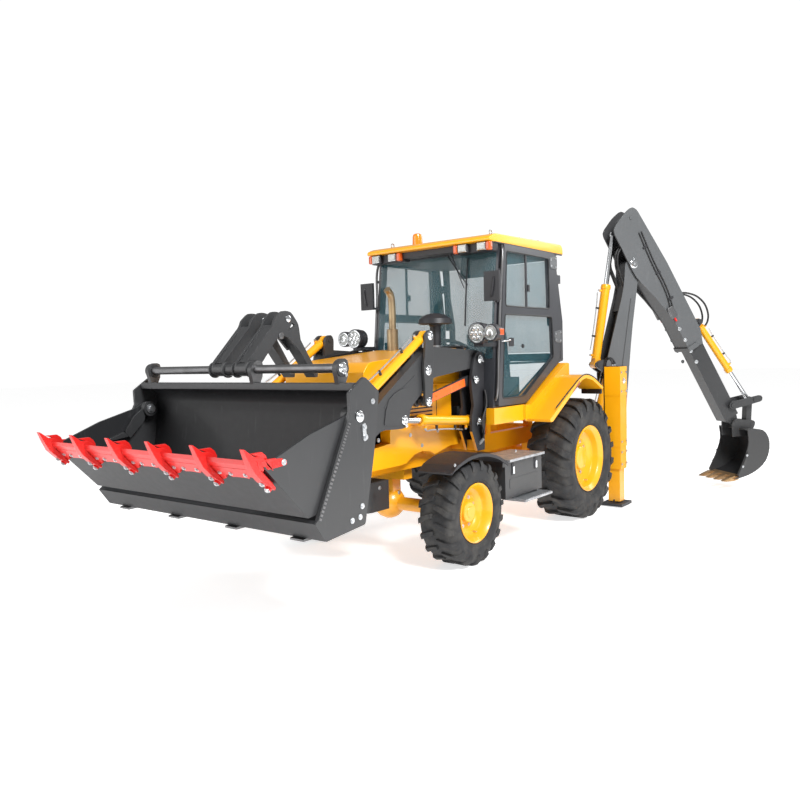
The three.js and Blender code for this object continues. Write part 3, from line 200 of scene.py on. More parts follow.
class Finish:
    def __init__(self, name):
        self.material = bpy.data.materials.new(name)
        self.material.use_nodes = True
        self.tree = self.material.node_tree
        self.shader = self.tree.nodes["Principled BSDF"]
        self.place = self.add("TexCoord", output="Object")

    def add(self, kind, settings={}, sockets={}, output=0):
        node = self.tree.nodes.new("ShaderNode" + kind)
        for name, value in settings.items():
            setattr(node, name, value)
        for name, value in sockets.items():
            plug(self.tree, value, node.inputs[name])
        return Wire(self.tree, node.outputs[output])

    def stretched(self, scale):
        return self.add("Mapping", {}, {"Vector": self.place, "Scale": scale})

    def noise(self, scale, detail=3, stretch=None):
        vector = self.stretched(stretch) if stretch else self.place
        return self.add("TexNoise", {}, {"Vector": vector, "Scale": scale, "Detail": detail})

    def spread(self, value, low, high):
        return self.add("MapRange", {"clamp": True}, {"Value": value, "From Min": low, "From Max": high})

    def mix(self, factor, first, second, blend="MIX"):
        settings = {"data_type": "RGBA", "blend_type": blend}
        return self.add("Mix", settings, {0: factor, 6: first, 7: second}, output=2)

    def bump(self, height, strength, distance):
        return self.add("Bump", {}, {"Height": height, "Strength": strength, "Distance": distance})

    def height(self):
        return self.add("SeparateXYZ", {}, {"Vector": self.place}, output=2)

    def facingUp(self):
        normal = self.add("NewGeometry", output="Normal")
        return self.add("SeparateXYZ", {}, {"Vector": normal}, output=2)

    def surface(self, **values):
        names = {"color": "Base Color", "roughness": "Roughness", "metallic": "Metallic", "normal": "Normal",
                 "coat": "Coat Weight", "coatRoughness": "Coat Roughness", "alpha": "Alpha",
                 "glow": "Emission Color", "glowStrength": "Emission Strength", "sheen": "Sheen Weight",
                 "specular": "Specular IOR Level"}
        for name, value in values.items():
            plug(self.tree, value, self.shader.inputs[names[name]])
        return self.material


def makePaint(name, look):
    finish = Finish(name)
    cloud = finish.noise(1.1, 4)
    grain = finish.noise(240, 2)
    dustLow = 1 - finish.spread(finish.height(), 0.1, look["dustTop"])
    dust = finish.spread(cloud, 0.35, 0.75) * dustLow * look["dust"]
    patches = finish.spread(finish.noise(5, 5), 0.45, 0.8)
    top = finish.spread(finish.facingUp(), 0.5, 1.0) * patches * look["settled"]
    color = finish.mix(finish.spread(cloud, 0.3, 0.7), look["color"], look["shade"])
    color = finish.mix(dust + top, color, look["dustColor"])
    scuff = finish.spread(finish.noise(26, 6, (1, 1, 0.15)), 0.62, 0.7) * look["scuff"]
    return finish.surface(
        color=finish.mix(scuff, color, look["scuffColor"]),
        roughness=look["roughness"] + 0.25 * dust + 0.1 * finish.noise(18, 3) + 0.15 * scuff,
        coat=look["coat"], coatRoughness=0.12,
        normal=finish.bump(grain + 0.4 * finish.noise(12, 2), look["peel"], 0.0012))


def makeRubber(name, look):
    finish = Finish(name)
    blotch = finish.noise(9, 5)
    dust = finish.spread(blotch, 0.45, 0.72) * look["dust"]
    return finish.surface(
        color=finish.mix(dust, look["color"], look["dustColor"]),
        roughness=look["roughness"] + 0.15 * blotch,
        normal=finish.bump(finish.noise(160, 4) + 0.5 * finish.noise(30, 3), 0.35, 0.0015))


def makeMetal(name, look):
    finish = Finish(name)
    brushed = finish.noise(90, 3, look["stretch"])
    stain = finish.spread(finish.noise(7, 5), 0.4, 0.75)
    return finish.surface(
        color=finish.mix(stain * look["stain"], look["color"], look["stainColor"]),
        metallic=look["metallic"], roughness=look["roughness"] + 0.12 * brushed + 0.2 * stain * look["stain"],
        normal=finish.bump(brushed, look["bump"], 0.0006))


def makePlastic(name, look):
    finish = Finish(name)
    leather = finish.add("TexVoronoi", {}, {"Vector": finish.place, "Scale": look["grain"]})
    cloud = finish.noise(3, 4)
    return finish.surface(
        color=finish.mix(finish.spread(cloud, 0.35, 0.7), look["color"], look["shade"]),
        roughness=look["roughness"] + 0.12 * cloud,
        normal=finish.bump(leather, look["bump"], 0.0008))


def makeGlass(name, look):
    finish = Finish(name)
    streak = finish.spread(finish.noise(2.2, 5, (1, 1, 0.3)), 0.35, 0.8)
    return finish.surface(
        color=finish.mix(streak, look["color"], look["shade"]),
        alpha=look["alpha"] + 0.08 * streak, roughness=0.03, specular=0.6)


def makeTreadPlate(name, look):
    # Two sets of short raised bars, crossed at right angles.
    finish = Finish(name)
    bars = []
    for turn in (radians(45), radians(-45)):
        layout = {"Vector": finish.place, "Rotation": (0, 0, turn), "Scale": (60, 22, 20)}
        vector = finish.add("Mapping", {}, layout)
        cell = finish.add("TexVoronoi", {}, {"Vector": vector, "Scale": 1.0, "Randomness": 0.0})
        bars.append(1 - finish.spread(cell, 0.12, 0.3))
    raised = bars[0].math("MAXIMUM", bars[0], bars[1])
    stain = finish.spread(finish.noise(14, 5), 0.4, 0.7)
    return finish.surface(
        color=finish.mix(stain, look["color"], look["shade"]), metallic=0.75,
        roughness=look["roughness"] + 0.2 * stain - 0.12 * raised,
        normal=finish.bump(raised, 0.8, 0.003))


def makeLens(name, look):
    finish = Finish(name)
    ribs = finish.add("TexVoronoi", {}, {"Vector": finish.place, "Scale": look["ribs"], "Randomness": 0.2})
    return finish.surface(
        color=finish.mix(finish.spread(ribs, 0.1, 0.6), look["color"], look["shade"]),
        roughness=0.08 + 0.1 * ribs, coat=0.8, metallic=look["metallic"],
        glow=look["color"], glowStrength=look["glow"],
        normal=finish.bump(ribs, 0.5, 0.002))


def makeFabric(name, look):
    finish = Finish(name)
    waveX = finish.add("TexWave", {"bands_direction": "X"}, {"Vector": finish.place, "Scale": look["weave"]})
    waveY = finish.add("TexWave", {"bands_direction": "Y"}, {"Vector": finish.place, "Scale": look["weave"]})
    weave = waveX * waveY
    return finish.surface(
        color=finish.mix(weave, look["color"], look["shade"]), sheen=0.4,
        roughness=0.8 + 0.15 * weave, normal=finish.bump(weave, 0.4, 0.001))


# Grey dust low down, a little settled dust on top and light scuffs, unless a finish says otherwise.
plainPaint = {
    "dustTop": 1.2, "dust": 0.1, "settled": 0.05, "dustColor": (0.2, 0.18, 0.15), "scuff": 0.1,
    "roughness": 0.4, "coat": 0.15, "peel": 0.08,
}
warmDust = (0.36, 0.29, 0.2)
yellowPaint = makePaint("yellowPaint", {
    **plainPaint, "color": (0.93, 0.42, 0.002), "shade": (0.88, 0.37, 0.002), "dustTop": 1.3,
    "dustColor": warmDust, "scuff": 0.06, "scuffColor": (0.5, 0.3, 0.1), "roughness": 0.3, "coat": 0.4,
    "peel": 0.06})
charcoalPaint = makePaint("charcoalPaint", {
    **plainPaint, "color": (0.036, 0.037, 0.039), "shade": (0.029, 0.03, 0.032), "dust": 0.12,
    "settled": 0.07, "dustColor": (0.14, 0.13, 0.11), "scuff": 0.12, "scuffColor": (0.1, 0.1, 0.1),
    "roughness": 0.38})
# A lighter grey: the colour of the door hinge leaves, and painted light on the sides of the boom and dipper.
greyPaintAndPaintedLight = makePaint("greyPaintAndPaintedLight", {
    **plainPaint, "color": (0.1, 0.105, 0.11), "shade": (0.085, 0.09, 0.094), "scuffColor": (0.2, 0.2, 0.2),
    "roughness": 0.42, "coat": 0.12})
cabPaint = makePaint("cabPaint", {
    **plainPaint, "color": (0.04, 0.042, 0.048), "shade": (0.033, 0.035, 0.041), "dustTop": 1.5,
    "settled": 0.04, "scuff": 0.04, "scuffColor": (0.12, 0.12, 0.12), "roughness": 0.32, "coat": 0.35,
    "peel": 0.05})
# A darker copy of the charcoal for the bucket insides: painted shade, with real scuffs.
scrapedPaintWithPaintedShade = makePaint("scrapedPaintWithPaintedShade", {
    **plainPaint, "color": (0.013, 0.014, 0.016), "shade": (0.01, 0.011, 0.013), "dustTop": 1.4, "dust": 0.12,
    "settled": 0.08, "dustColor": (0.09, 0.08, 0.07), "scuff": 0.22, "scuffColor": (0.08, 0.08, 0.085),
    "roughness": 0.5, "coat": 0.1, "peel": 0.1})
redPaint = makePaint("redPaint", {
    **plainPaint, "color": (0.72, 0.016, 0.012), "shade": (0.6, 0.012, 0.01), "dust": 0.06, "settled": 0.03,
    "dustColor": warmDust, "scuff": 0.15, "scuffColor": (0.25, 0.03, 0.03), "roughness": 0.34,
    "coat": 0.3, "peel": 0.1})
orangePaint = makePaint("orangePaint", {
    **plainPaint, "color": (1.0, 0.13, 0.005), "shade": (0.95, 0.1, 0.005), "dust": 0.04, "settled": 0.02,
    "dustColor": warmDust, "scuffColor": (0.8, 0.4, 0.2), "coat": 0.2, "peel": 0.05})
tyreRubber = makeRubber("tyreRubber", {
    "color": (0.018, 0.0185, 0.02), "dust": 0.55, "dustColor": (0.085, 0.08, 0.072), "roughness": 0.7})
hoseRubber = makeRubber("hoseRubber", {
    "color": (0.012, 0.012, 0.013), "dust": 0.2, "dustColor": (0.06, 0.058, 0.055), "roughness": 0.42})
blackPlastic = makePlastic("blackPlastic", {
    "color": (0.016, 0.016, 0.019), "shade": (0.026, 0.026, 0.03), "grain": 420, "roughness": 0.42,
    "bump": 0.2})
trimPlastic = makePlastic("trimPlastic", {
    "color": (0.05, 0.055, 0.055), "shade": (0.035, 0.04, 0.04), "grain": 300, "roughness": 0.6,
    "bump": 0.25})
chromePlate = makeMetal("chromePlate", {
    "color": (0.82, 0.84, 0.86), "stainColor": (0.6, 0.6, 0.6), "stain": 0.15, "metallic": 1.0,
    "roughness": 0.07, "bump": 0.03, "stretch": (1, 1, 1)})
zincSteel = makeMetal("zincSteel", {
    "color": (0.62, 0.64, 0.66), "stainColor": (0.38, 0.38, 0.38), "stain": 0.5, "metallic": 0.95,
    "roughness": 0.26, "bump": 0.12, "stretch": (1, 1, 6)})
darkSteel = makeMetal("darkSteel", {
    "color": (0.2, 0.2, 0.205), "stainColor": (0.09, 0.09, 0.09), "stain": 0.6, "metallic": 0.9,
    "roughness": 0.3, "bump": 0.15, "stretch": (1, 8, 1)})
toothBronze = makeMetal("toothBronze", {
    "color": (0.5, 0.32, 0.16), "stainColor": (0.16, 0.1, 0.06), "stain": 0.7, "metallic": 0.75,
    "roughness": 0.34, "bump": 0.2, "stretch": (1, 1, 3)})
heatedPipe = makeMetal("heatedPipe", {
    "color": (0.5, 0.39, 0.24), "stainColor": (0.2, 0.13, 0.08), "stain": 0.6, "metallic": 0.9,
    "roughness": 0.3, "bump": 0.1, "stretch": (1, 1, 5)})
tintedGlass = makeGlass("tintedGlass", {"color": (0.04, 0.13, 0.16), "shade": (0.06, 0.17, 0.2),
                                        "alpha": 0.24})
treadPlate = makeTreadPlate("treadPlate", {"color": (0.5, 0.51, 0.53), "shade": (0.33, 0.34, 0.35),
                                           "roughness": 0.36})
whiteLens = makeLens("whiteLens", {
    "color": (0.5, 0.51, 0.48), "shade": (0.26, 0.27, 0.26), "ribs": 70, "metallic": 0.3, "glow": 0.05})
orangeLens = makeLens("orangeLens", {
    "color": (0.8, 0.14, 0.012), "shade": (0.45, 0.06, 0.008), "ribs": 110, "metallic": 0.0, "glow": 0.12})
beaconLens = makeLens("beaconLens", {
    "color": (0.95, 0.34, 0.01), "shade": (0.8, 0.2, 0.005), "ribs": 60, "metallic": 0.0, "glow": 0.1})
redLens = makeLens("redLens", {
    "color": (0.42, 0.06, 0.03), "shade": (0.25, 0.03, 0.02), "ribs": 140, "metallic": 0.0, "glow": 0.03})
seatFabric = makeFabric("seatFabric", {"color": (0.035, 0.036, 0.04), "shade": (0.07, 0.07, 0.075),
                                       "weave": 260})
print("materials made")


# ---- shapes, in millimetres ----
sides = (1, -1)
sideName = {1: "left", -1: "right"}


def span(side, inner, outer):
    # Distances outward from the middle plane, as the low and high Y of one side.
    return (inner, outer) if side > 0 else (-outer, -inner)


def soften(shape, edge, segments=2, above=32):
    keen = [e for e in shape.edges if e.calc_face_angle(0) > radians(above)]
    bmesh.ops.bevel(shape, geom=keen, offset=edge, offset_type="OFFSET", affect="EDGES", segments=segments,
                    profile=0.5, material=-1, clamp_overlap=True)
    return shape


def block(low, high, edge=3, segments=2):
    shape = bmesh.new()
    bmesh.ops.create_cube(shape, size=1)
    low, high = Vector(low), Vector(high)
    bmesh.ops.scale(shape, vec=high - low, verts=shape.verts)
    bmesh.ops.translate(shape, vec=(low + high) / 2, verts=shape.verts)
    return soften(shape, edge, segments)


def slabOn(side, xs, ys, zs, edge=3, segments=2):
    # A block on one side of the machine, from its distances outward.
    low, high = span(side, *ys)
    return block((xs[0], low, zs[0]), (xs[1], high, zs[1]), edge, segments)


def rod(start, end, radius, sides=20, edge=0):
    start, end = Vector(start), Vector(end)
    shape = bmesh.new()
    bmesh.ops.create_cone(shape, cap_ends=True, segments=sides, radius1=radius, radius2=radius,
                          depth=(end - start).length)
    if edge:
        soften(shape, edge, 2, 60)
    bmesh.ops.transform(shape, matrix=Matrix.Translation((start + end) / 2) @ aim(end - start),
                        verts=shape.verts)
    return shape


def lathe(profile, start, direction, sides=32):
    # Turns (radius, distance along) points about a line.
    shape = bmesh.new()
    points = [shape.verts.new((radius, 0, along)) for radius, along in profile]
    lines = [shape.edges.new(pair) for pair in zip(points, points[1:])]
    bmesh.ops.spin(shape, geom=points + lines, cent=(0, 0, 0), axis=(0, 0, 1), angle=2 * pi, steps=sides,
                   use_merge=True)
    bmesh.ops.remove_doubles(shape, verts=shape.verts, dist=1e-3)
    bmesh.ops.recalc_face_normals(shape, faces=shape.faces)
    bmesh.ops.transform(shape, matrix=Matrix.Translation(start) @ aim(direction), verts=shape.verts)
    return shape


def plate(corners, thickness, edge, segments):
    shape = bmesh.new()
    face = shape.faces.new([shape.verts.new(corner) for corner in corners])
    made = bmesh.ops.extrude_face_region(shape, geom=[face])["geom"]
    bmesh.ops.translate(shape, vec=thickness, verts=[v for v in made if isinstance(v, bmesh.types.BMVert)])
    bmesh.ops.recalc_face_normals(shape, faces=shape.faces)
    return soften(shape, edge, segments) if edge else shape


def panel(points, y0, y1, edge=2, segments=2):
    # A plate from its side outline.
    return plate([(x, y0, z) for x, z in points], (0, y1 - y0, 0), edge, segments)


def floorPlate(points, low, high, edge=2):
    # A plate from its plan outline.
    return plate([(x, y, low) for x, y in points], (0, 0, high - low), edge, 2)


def strip(start, end, width, y0, y1, edge=1.5):
    # A bar in side view between two points.
    start, end = Vector(start), Vector(end)
    across = (end - start).normalized().orthogonal() * width / 2
    return panel([start + across, end + across, end - across, start - across], y0, y1, edge)


def rounded(points, radius, steps=4):
    # Rounds the corners of an outline.
    made = []
    for i, point in enumerate(points):
        corner = Vector(point)
        before, after = Vector(points[i - 1]) - corner, Vector(points[(i + 1) % len(points)]) - corner
        trim = min(radius, before.length * 0.45, after.length * 0.45)
        start, end = corner + before.normalized() * trim, corner + after.normalized() * trim
        for step in range(steps + 1):
            t = step / steps
            made.append(tuple(start * (1 - t) ** 2 + corner * 2 * t * (1 - t) + end * t * t))
    return made


def pipe(points, radius, sides=10, steps=6):
    # A hose or bent tube through the points.
    curve = bpy.data.curves.new("run", "CURVE")
    curve.dimensions = "3D"
    curve.bevel_depth = radius
    curve.bevel_resolution = max(0, sides // 2 - 2)
    curve.resolution_u = steps
    curve.use_fill_caps = True
    spline = curve.splines.new("BEZIER")
    spline.bezier_points.add(len(points) - 1)
    for knot, point in zip(spline.bezier_points, points):
        knot.co = point
        knot.handle_left_type = knot.handle_right_type = "AUTO"
    holder = bpy.data.objects.new("run", curve)
    mesh = bpy.data.meshes.new_from_object(holder)
    shape = bmesh.new()
    shape.from_mesh(mesh)
    bpy.data.objects.remove(holder)
    bpy.data.curves.remove(curve)
    bpy.data.meshes.remove(mesh)
    return shape


def merge(first, *others):
    for other in others:
        mesh = bpy.data.meshes.new("part")
        other.to_mesh(mesh)
        other.free()
        first.from_mesh(mesh)
        bpy.data.meshes.remove(mesh)
    return first


def bolt(place, direction, size):
    place, direction = Vector(place), Vector(direction).normalized()
    head = rod(place, place + direction * size * 0.85, size, 6, size * 0.1)
    washer = rod(place, place + direction * size * 0.25, size * 1.5, 14)
    return merge(head, washer)


def pinHead(spot, face, side, radius, keeper):
    # A plated pin end with its grease nipple, and a bolted keeper plate at an angle.
    x, z = spot
    out = (0, side, 0)
    profile = [(0, 0), (radius + 12, 0), (radius + 12, 4), (radius + 8, 7), (radius, 7), (radius, 12),
               (radius - 4, 16), (10, 16), (9, 20), (5, 21), (4, 27), (0, 28)]
    shape = lathe(profile, (x, side * face, z), out, 28)
    if keeper is not None:
        along = Vector((cos(radians(keeper)), sin(radians(keeper))))
        centre = Vector(spot)
        far, near = centre + along * (radius + 34), centre + along * radius * 0.6
        merge(shape, strip(far, near, 26, *span(side, face, face + 7)))
        head = centre + along * (radius + 20)
        merge(shape, bolt((head.x, side * (face + 7), head.y), out, 8))
    return shape


class Piece:
    # One object on one body. Each part of it takes the main finish unless it names its own.
    def __init__(self, name, place=machine, main=None):
        self.name = name
        self.place = place
        self.main = main
        self.shape = bmesh.new()
        self.finishes = []

    def add(self, part, finish=None, place=Matrix()):
        finish = finish or self.main
        if finish not in self.finishes:
            self.finishes.append(finish)
        for face in part.faces:
            face.material_index = self.finishes.index(finish)
        bmesh.ops.transform(part, matrix=self.place @ place, verts=part.verts)
        merge(self.shape, part)
        return self

    def bolts(self, side, face, size, *spots, finish=zincSteel):
        for x, z in spots:
            self.add(bolt((x, side * face, z), (0, side, 0), size), finish)
        return self

    def pin(self, side, face, spot, radius, keeper=None):
        return self.add(pinHead(spot, face, side, radius, keeper), chromePlate)

    def close(self, body, slot, replaced=(), smooth=38, weighted=True):
        mesh = bpy.data.meshes.new(self.name)
        self.shape.to_mesh(mesh)
        self.shape.free()
        made = bpy.data.objects.new(self.name, mesh)
        bpy.context.scene.collection.objects.link(made)
        for finish in self.finishes:
            mesh.materials.append(finish)
        mesh.shade_smooth()
        mesh.set_sharp_from_angle(angle=radians(smooth))
        if weighted:
            made.modifiers.new("flatFaces", "WEIGHTED_NORMAL").keep_sharp = True
        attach(made, body)
        if replaced:
            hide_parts(*replaced)
        return made


def bodyOf(node):
    return frame["nodes"][node]["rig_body"]


def refine(node, slot, finish, zones=(), place=machine, edge=3.0, segments=2):
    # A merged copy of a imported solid, with softened edges and a finish for each zone.
    shape = bmesh.new()
    shape.from_mesh(frame["nodes"][node].data)
    bmesh.ops.remove_doubles(shape, verts=shape.verts, dist=3e-5)
    bmesh.ops.dissolve_limit(shape, angle_limit=radians(0.7), verts=shape.verts, edges=shape.edges)
    toPlace = place.inverted()
    for face in shape.faces:
        centre = toPlace @ face.calc_center_median()
        face.material_index = next((i for i, zone in enumerate(zones, 1) if zone[1](*centre)), 0)
    keen = [e for e in shape.edges
            if e.is_manifold and e.calc_face_angle(0) > radians(34) and e.calc_length() > 0.004]
    bmesh.ops.bevel(shape, geom=keen, offset=edge / 1000, offset_type="OFFSET", affect="EDGES",
                    segments=segments, profile=0.5, material=-1, clamp_overlap=True)
    piece = Piece("fine_" + node)
    piece.shape.free()
    piece.shape = shape
    piece.finishes = [finish] + [zone[0] for zone in zones]
    return piece.close(bodyOf(node), slot, (node,))


def dressBarrel(name, node, start, end, y, radius, length, place=machine, above=1):
    # The gland, ports and steel pipe of a cylinder.
    start, end = Vector((start[0], y, start[1])), Vector((end[0], y, end[1]))
    along = (end - start).normalized()
    over = Vector((along.z, 0, -along.x)) * (-above)
    piece = Piece(name, place, yellowPaint)
    gland = [(radius - 8, 0), (radius + 5, 0), (radius + 7, 4), (radius + 7, 34), (radius + 3, 40),
             (radius + 3, 52), (radius - 6, 57), (radius - 14, 57), (radius - 14, 40)]
    band = [(radius, 0), (radius + 4, 2), (radius + 4, 10), (radius, 14)]
    piece.add(lathe(gland, start + along * (length - 52), along, 36))
    piece.add(lathe(band, start + along * 70, along, 36))
    ports = [start + along * reach + over * radius for reach in (110, length - 80)]
    for port in ports:
        piece.add(rod(port - over * 6, port + over * 24, 15, 16, 2))
        piece.add(rod(port + over * 24, port + over * 40, 12, 6, 1), zincSteel)
    tube = [ports[1] + over * 36, ports[1] + over * 46 - along * 26, ports[1] + over * 40 - along * 90,
            ports[0] + over * 34 + along * 160, ports[0] + over * 40 + along * 60]
    piece.add(pipe(tube, 7, 10, 8), zincSteel)
    for share in (0.35, 0.7):
        clamp = start + along * length * share + over * (radius - 2)
        piece.add(rod(clamp, clamp + over * 44, 13, 6, 2), blackPlastic)
    return piece.close(bodyOf(node), "yellow")


print("shape tools ready")

# ---- wheels ----
wheelLooks = {
    "front": {"radius": 456, "width": 340, "rim": 222, "flange": 254, "disc": 20, "hub": 92, "nuts": 8,
              "nutCircle": 128, "nut": 12, "lug": 20, "lugs": 19, "lugWidth": 46, "sweep": 70},
    "rear": {"radius": 652, "width": 480, "rim": 305, "flange": 353, "disc": 60, "hub": 125, "nuts": 10,
             "nutCircle": 178, "nut": 14, "lug": 32, "lugs": 20, "lugWidth": 62, "sweep": 105},
}


def makeLug(look, side, turn):
    # A bar from the middle of the tread to the shoulder, swept back as it goes out.
    shape = bmesh.new()
    bmesh.ops.create_cube(shape, size=1)
    length = [e for e in shape.edges if abs(e.verts[0].co.y - e.verts[1].co.y) > 0.5]
    bmesh.ops.subdivide_edges(shape, edges=length, cuts=6, use_grid_fill=True)
    half, radius = look["width"] / 2, look["radius"]
    carcass, wall = radius - look["lug"], radius - look["flange"]
    for vert in shape.verts:
        t = vert.co.y + 0.5
        outer = vert.co.z > 0
        fall = max(0.0, t - 0.72) / 0.28
        width = look["lugWidth"] * (1 + 0.25 * t) * (0.86 if outer else 1.0)
        angle = turn + (look["sweep"] * t ** 1.4 + vert.co.x * width) / radius
        reach = radius - wall * 0.2 * fall ** 2.2 if outer else carcass - 12 - wall * 0.3 * fall ** 1.5
        across = half * (0.04 + 0.97 * t) * side * (1.0 if outer else 0.985)
        vert.co = (reach * sin(angle), across, reach * cos(angle))
    bmesh.ops.recalc_face_normals(shape, faces=shape.faces)
    return soften(shape, 3, 1, 50)


def makeTyre(look):
    half, flange = look["width"] / 2, look["flange"]
    wall, carcass = look["radius"] - flange, look["radius"] - look["lug"]
    bead = [(flange - 10, 0.77), (flange + 2, 0.84)]
    sidewall = [(flange + wall * share, y) for share, y in (
        (0.08, 0.87), (0.1, 0.91), (0.16, 0.91), (0.18, 0.94), (0.35, 0.985), (0.5, 0.99), (0.52, 0.975),
        (0.68, 0.95))]
    shoulder = [(carcass - wall * 0.08, 0.86), (carcass - wall * 0.01, 0.72), (carcass, 0.4)]
    profile = [(radius, y * half) for radius, y in bead + sidewall + shoulder]
    ring = profile + [(radius, -y) for radius, y in reversed(profile)]
    step = 2 * pi / look["lugs"]
    lugs = [makeLug(look, side, (i + (0 if side > 0 else 0.5)) * step) for i in range(look["lugs"])
            for side in sides]
    return merge(lathe(ring + [ring[0]], (0, 0, 0), (0, 1, 0), 72), *lugs)


def makeRim(look):
    half = look["width"] * 0.43
    rim, flange, disc, hub = (look[part] for part in ("rim", "flange", "disc", "hub"))
    back = [(0, disc - 13), (rim - 34, disc - 13), (rim - 24, disc - 30), (rim - 24, -half + 30),
            (rim - 4, -half + 12), (flange - 12, -half - 4), (flange + 2, -half - 8),
            (flange + 2, -half + 6), (flange - 10, -half + 14)]
    well = [(rim + 4, -half + 50), (rim + 4, half - 50), (flange - 10, half - 14), (flange + 2, half - 6),
            (flange + 4, half + 6), (flange - 4, half + 10), (flange - 14, half + 2),
            (rim + 6, half - 22), (rim - 2, half - 40)]
    dish = [(rim - 8, disc + 62), (rim - 16, disc + 48), (rim - 44, disc + 38), (rim * 0.74, disc + 22),
            (rim * 0.7, disc + 14), (hub + 22, disc + 14), (hub + 14, disc + 20), (hub + 2, disc + 24),
            (hub - 3, disc + 54), (hub - 10, disc + 60), (hub * 0.55, disc + 61), (hub * 0.5, disc + 66),
            (0, disc + 67)]
    return lathe(back + well + dish, (0, 0, 0), (0, 1, 0), 64)


def makeWheel(end, look, side):
    node = f"{end}_wheel_{sideName[side]}"
    low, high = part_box(node)
    turn = Matrix.Rotation(0 if side > 0 else pi, 4, "Z")
    place = Matrix.Translation((low + high) / 2) @ turn @ Matrix.Scale(0.001, 4)
    # The hub boss is part of the box, so the middle comes from the tyre's width.
    place.translation.y = (low.y + look["width"] / 2000) if side > 0 else (high.y - look["width"] / 2000)
    tyre = Piece(f"{end}Tyre.{sideName[side]}", place).add(makeTyre(look), tyreRubber)
    tyre.close(bodyOf(node), "tyre", (node,), weighted=False)
    rim = Piece(f"{end}Rim.{sideName[side]}", place).add(makeRim(look), yellowPaint)
    disc, reach = look["disc"], look["nutCircle"]
    for i in range(look["nuts"]):
        angle = (i + 0.5) * 2 * pi / look["nuts"]
        rim.add(bolt((reach * sin(angle), disc + 13, reach * cos(angle)), (0, 1, 0), look["nut"]), zincSteel)
    angle, reach = radians(200), look["rim"] - 30
    valve = [(reach * sin(angle), disc + out, reach * cos(angle)) for out in (30, 80)]
    rim.add(rod(*valve, 5, 8), zincSteel)
    rim.close(bodyOf(node), "yellow")


for end, look in wheelLooks.items():
    for side in sides:
        makeWheel(end, look, side)
print("wheels made")

# ---- imported solids with softened edges ----
# The low front of the chassis under the nose, the front counterweight, is painted charcoal: painted shade on
# a yellow part.
refine("chassis", "yellow", yellowPaint, [
    (charcoalPaint, lambda x, y, z: x > 2600 and z < 790 and abs(y) < 400),
    (blackPlastic, lambda x, y, z: 1450 < x < 2700 and 780 < z < 960 and abs(y) < 355),
    (blackPlastic, lambda x, y, z: 1490 < x < 1760 and z > 1010 and abs(y) > 505)])
refine("engine", "black", blackPlastic,
       [(heatedPipe, lambda x, y, z: 1700 < x < 1860 and -290 < y < -190 and z > 1700)])
refine("hood", "yellow", yellowPaint, edge=8, segments=3)
for node in ("tool_box", "fuel_tank"):
    refine(node, "charcoal", charcoalPaint, [
        (treadPlate, lambda x, y, z: x < 1600 and z < 490 and abs(y) > 860),
        (blackPlastic, lambda x, y, z: x > 1690 and z > 770 and abs(y) > 640)])
refine("box_lid", "steel", treadPlate)
refine("cab_base", "yellow", yellowPaint,
       [(trimPlastic, lambda x, y, z: x < 1460 and z > 1150 and abs(y) < 585)])
refine("cab_frame", "charcoal", cabPaint, [
    (blackPlastic, lambda x, y, z: x > 1480 and z > 1850),
    (blackPlastic, lambda x, y, z: 2150 < z < 2700 and abs(y) > 745)])
refine("cab_roof", "yellow", yellowPaint, [(blackPlastic, lambda x, y, z: z < 2876)], edge=10, segments=3)
# The inside of the bucket back and the clam shell between its side plates take the darker copy of the
# charcoal: painted shade.
refine("bucket_back", "charcoal", charcoalPaint, [
    (darkSteel, lambda x, y, z: hypot(x - 3955, z - 1747) < 34 and abs(y) < 1120),
    (scrapedPaintWithPaintedShade, lambda x, y, z: x > 3800 and z < 1640 and abs(y) < 1190)])
refine("clam", "charcoal", charcoalPaint, [(scrapedPaintWithPaintedShade, lambda x, y, z: abs(y) < 1180)])
refine("bucket_pivot_shaft", "steel", darkSteel)
# The side faces of the boom and the dipper take the lighter grey: painted light on parts that are charcoal
# all over.
refine("boom", "charcoal", charcoalPaint, [(greyPaintAndPaintedLight, lambda x, y, z: z > 620 and abs(y) > 110)], hoePlane)
refine("dipper", "charcoal", charcoalPaint, [(greyPaintAndPaintedLight, lambda x, y, z: abs(y) > 146)], dipperPlane)
# The hoe bucket between its side plates, below the rim, takes the darker copy of the charcoal: painted shade.
refine("hoe_bucket", "charcoal", charcoalPaint, [
    (toothBronze, lambda x, y, z: x < 1845 and z < 175),
    (scrapedPaintWithPaintedShade, lambda x, y, z: z < 745 and abs(y) < 282)], hoePlane)
for node in ("front_axle", "rear_axle", "rear_frame", "side_panels", "knuckle_left", "knuckle_right"):
    refine(node, "yellow", yellowPaint)
for node in ("loader_arms", "pallet_forks", "side_shift_carriage", "kingpost", "dipper_extension",
             "tipping_link", "h_link", "tie_link_left", "tie_link_right"):
    refine(node, "charcoal", charcoalPaint)
for name in ("boom", "dipper", "bucket"):
    refine(f"{name}_barrel", "yellow", yellowPaint)
    refine(f"{name}_rod", "chrome", chromePlate, edge=2)
for name in sideName.values():
    refine(f"stabiliser_leg_{name}", "yellow", yellowPaint, [(blackPlastic, lambda x, y, z: z < 82)])
    refine(f"door_{name}", "charcoal", cabPaint, edge=5)
    refine(f"lever_{name}", "charcoal", charcoalPaint, edge=4)
    for part in ("lift", "tilt"):
        refine(f"{part}_barrel_{name}", "yellow", yellowPaint)
        refine(f"{part}_rod_{name}", "chrome", chromePlate, edge=2)
for node in ("windscreen", "rear_window", "door_glass_left", "door_glass_right"):
    frame["nodes"][node].data.materials.clear()
    frame["nodes"][node].data.materials.append(tintedGlass)
print("packed solids refined")

# ---- loader bucket ----
bucketLook = {
    "outer": 1222, "heel": (4425, 840), "tip": (4767, 1196), "clamHalf": 1191, "teeth": 6,
    "toothHalf": 32, "boltInsets": (132, 76), "shaft": (3955, 1747), "clamHinge": (3960, 1430),
    "armPin": (3700, 800), "ribs": (-980, -330, 330, 980), "dashes": 9,
}


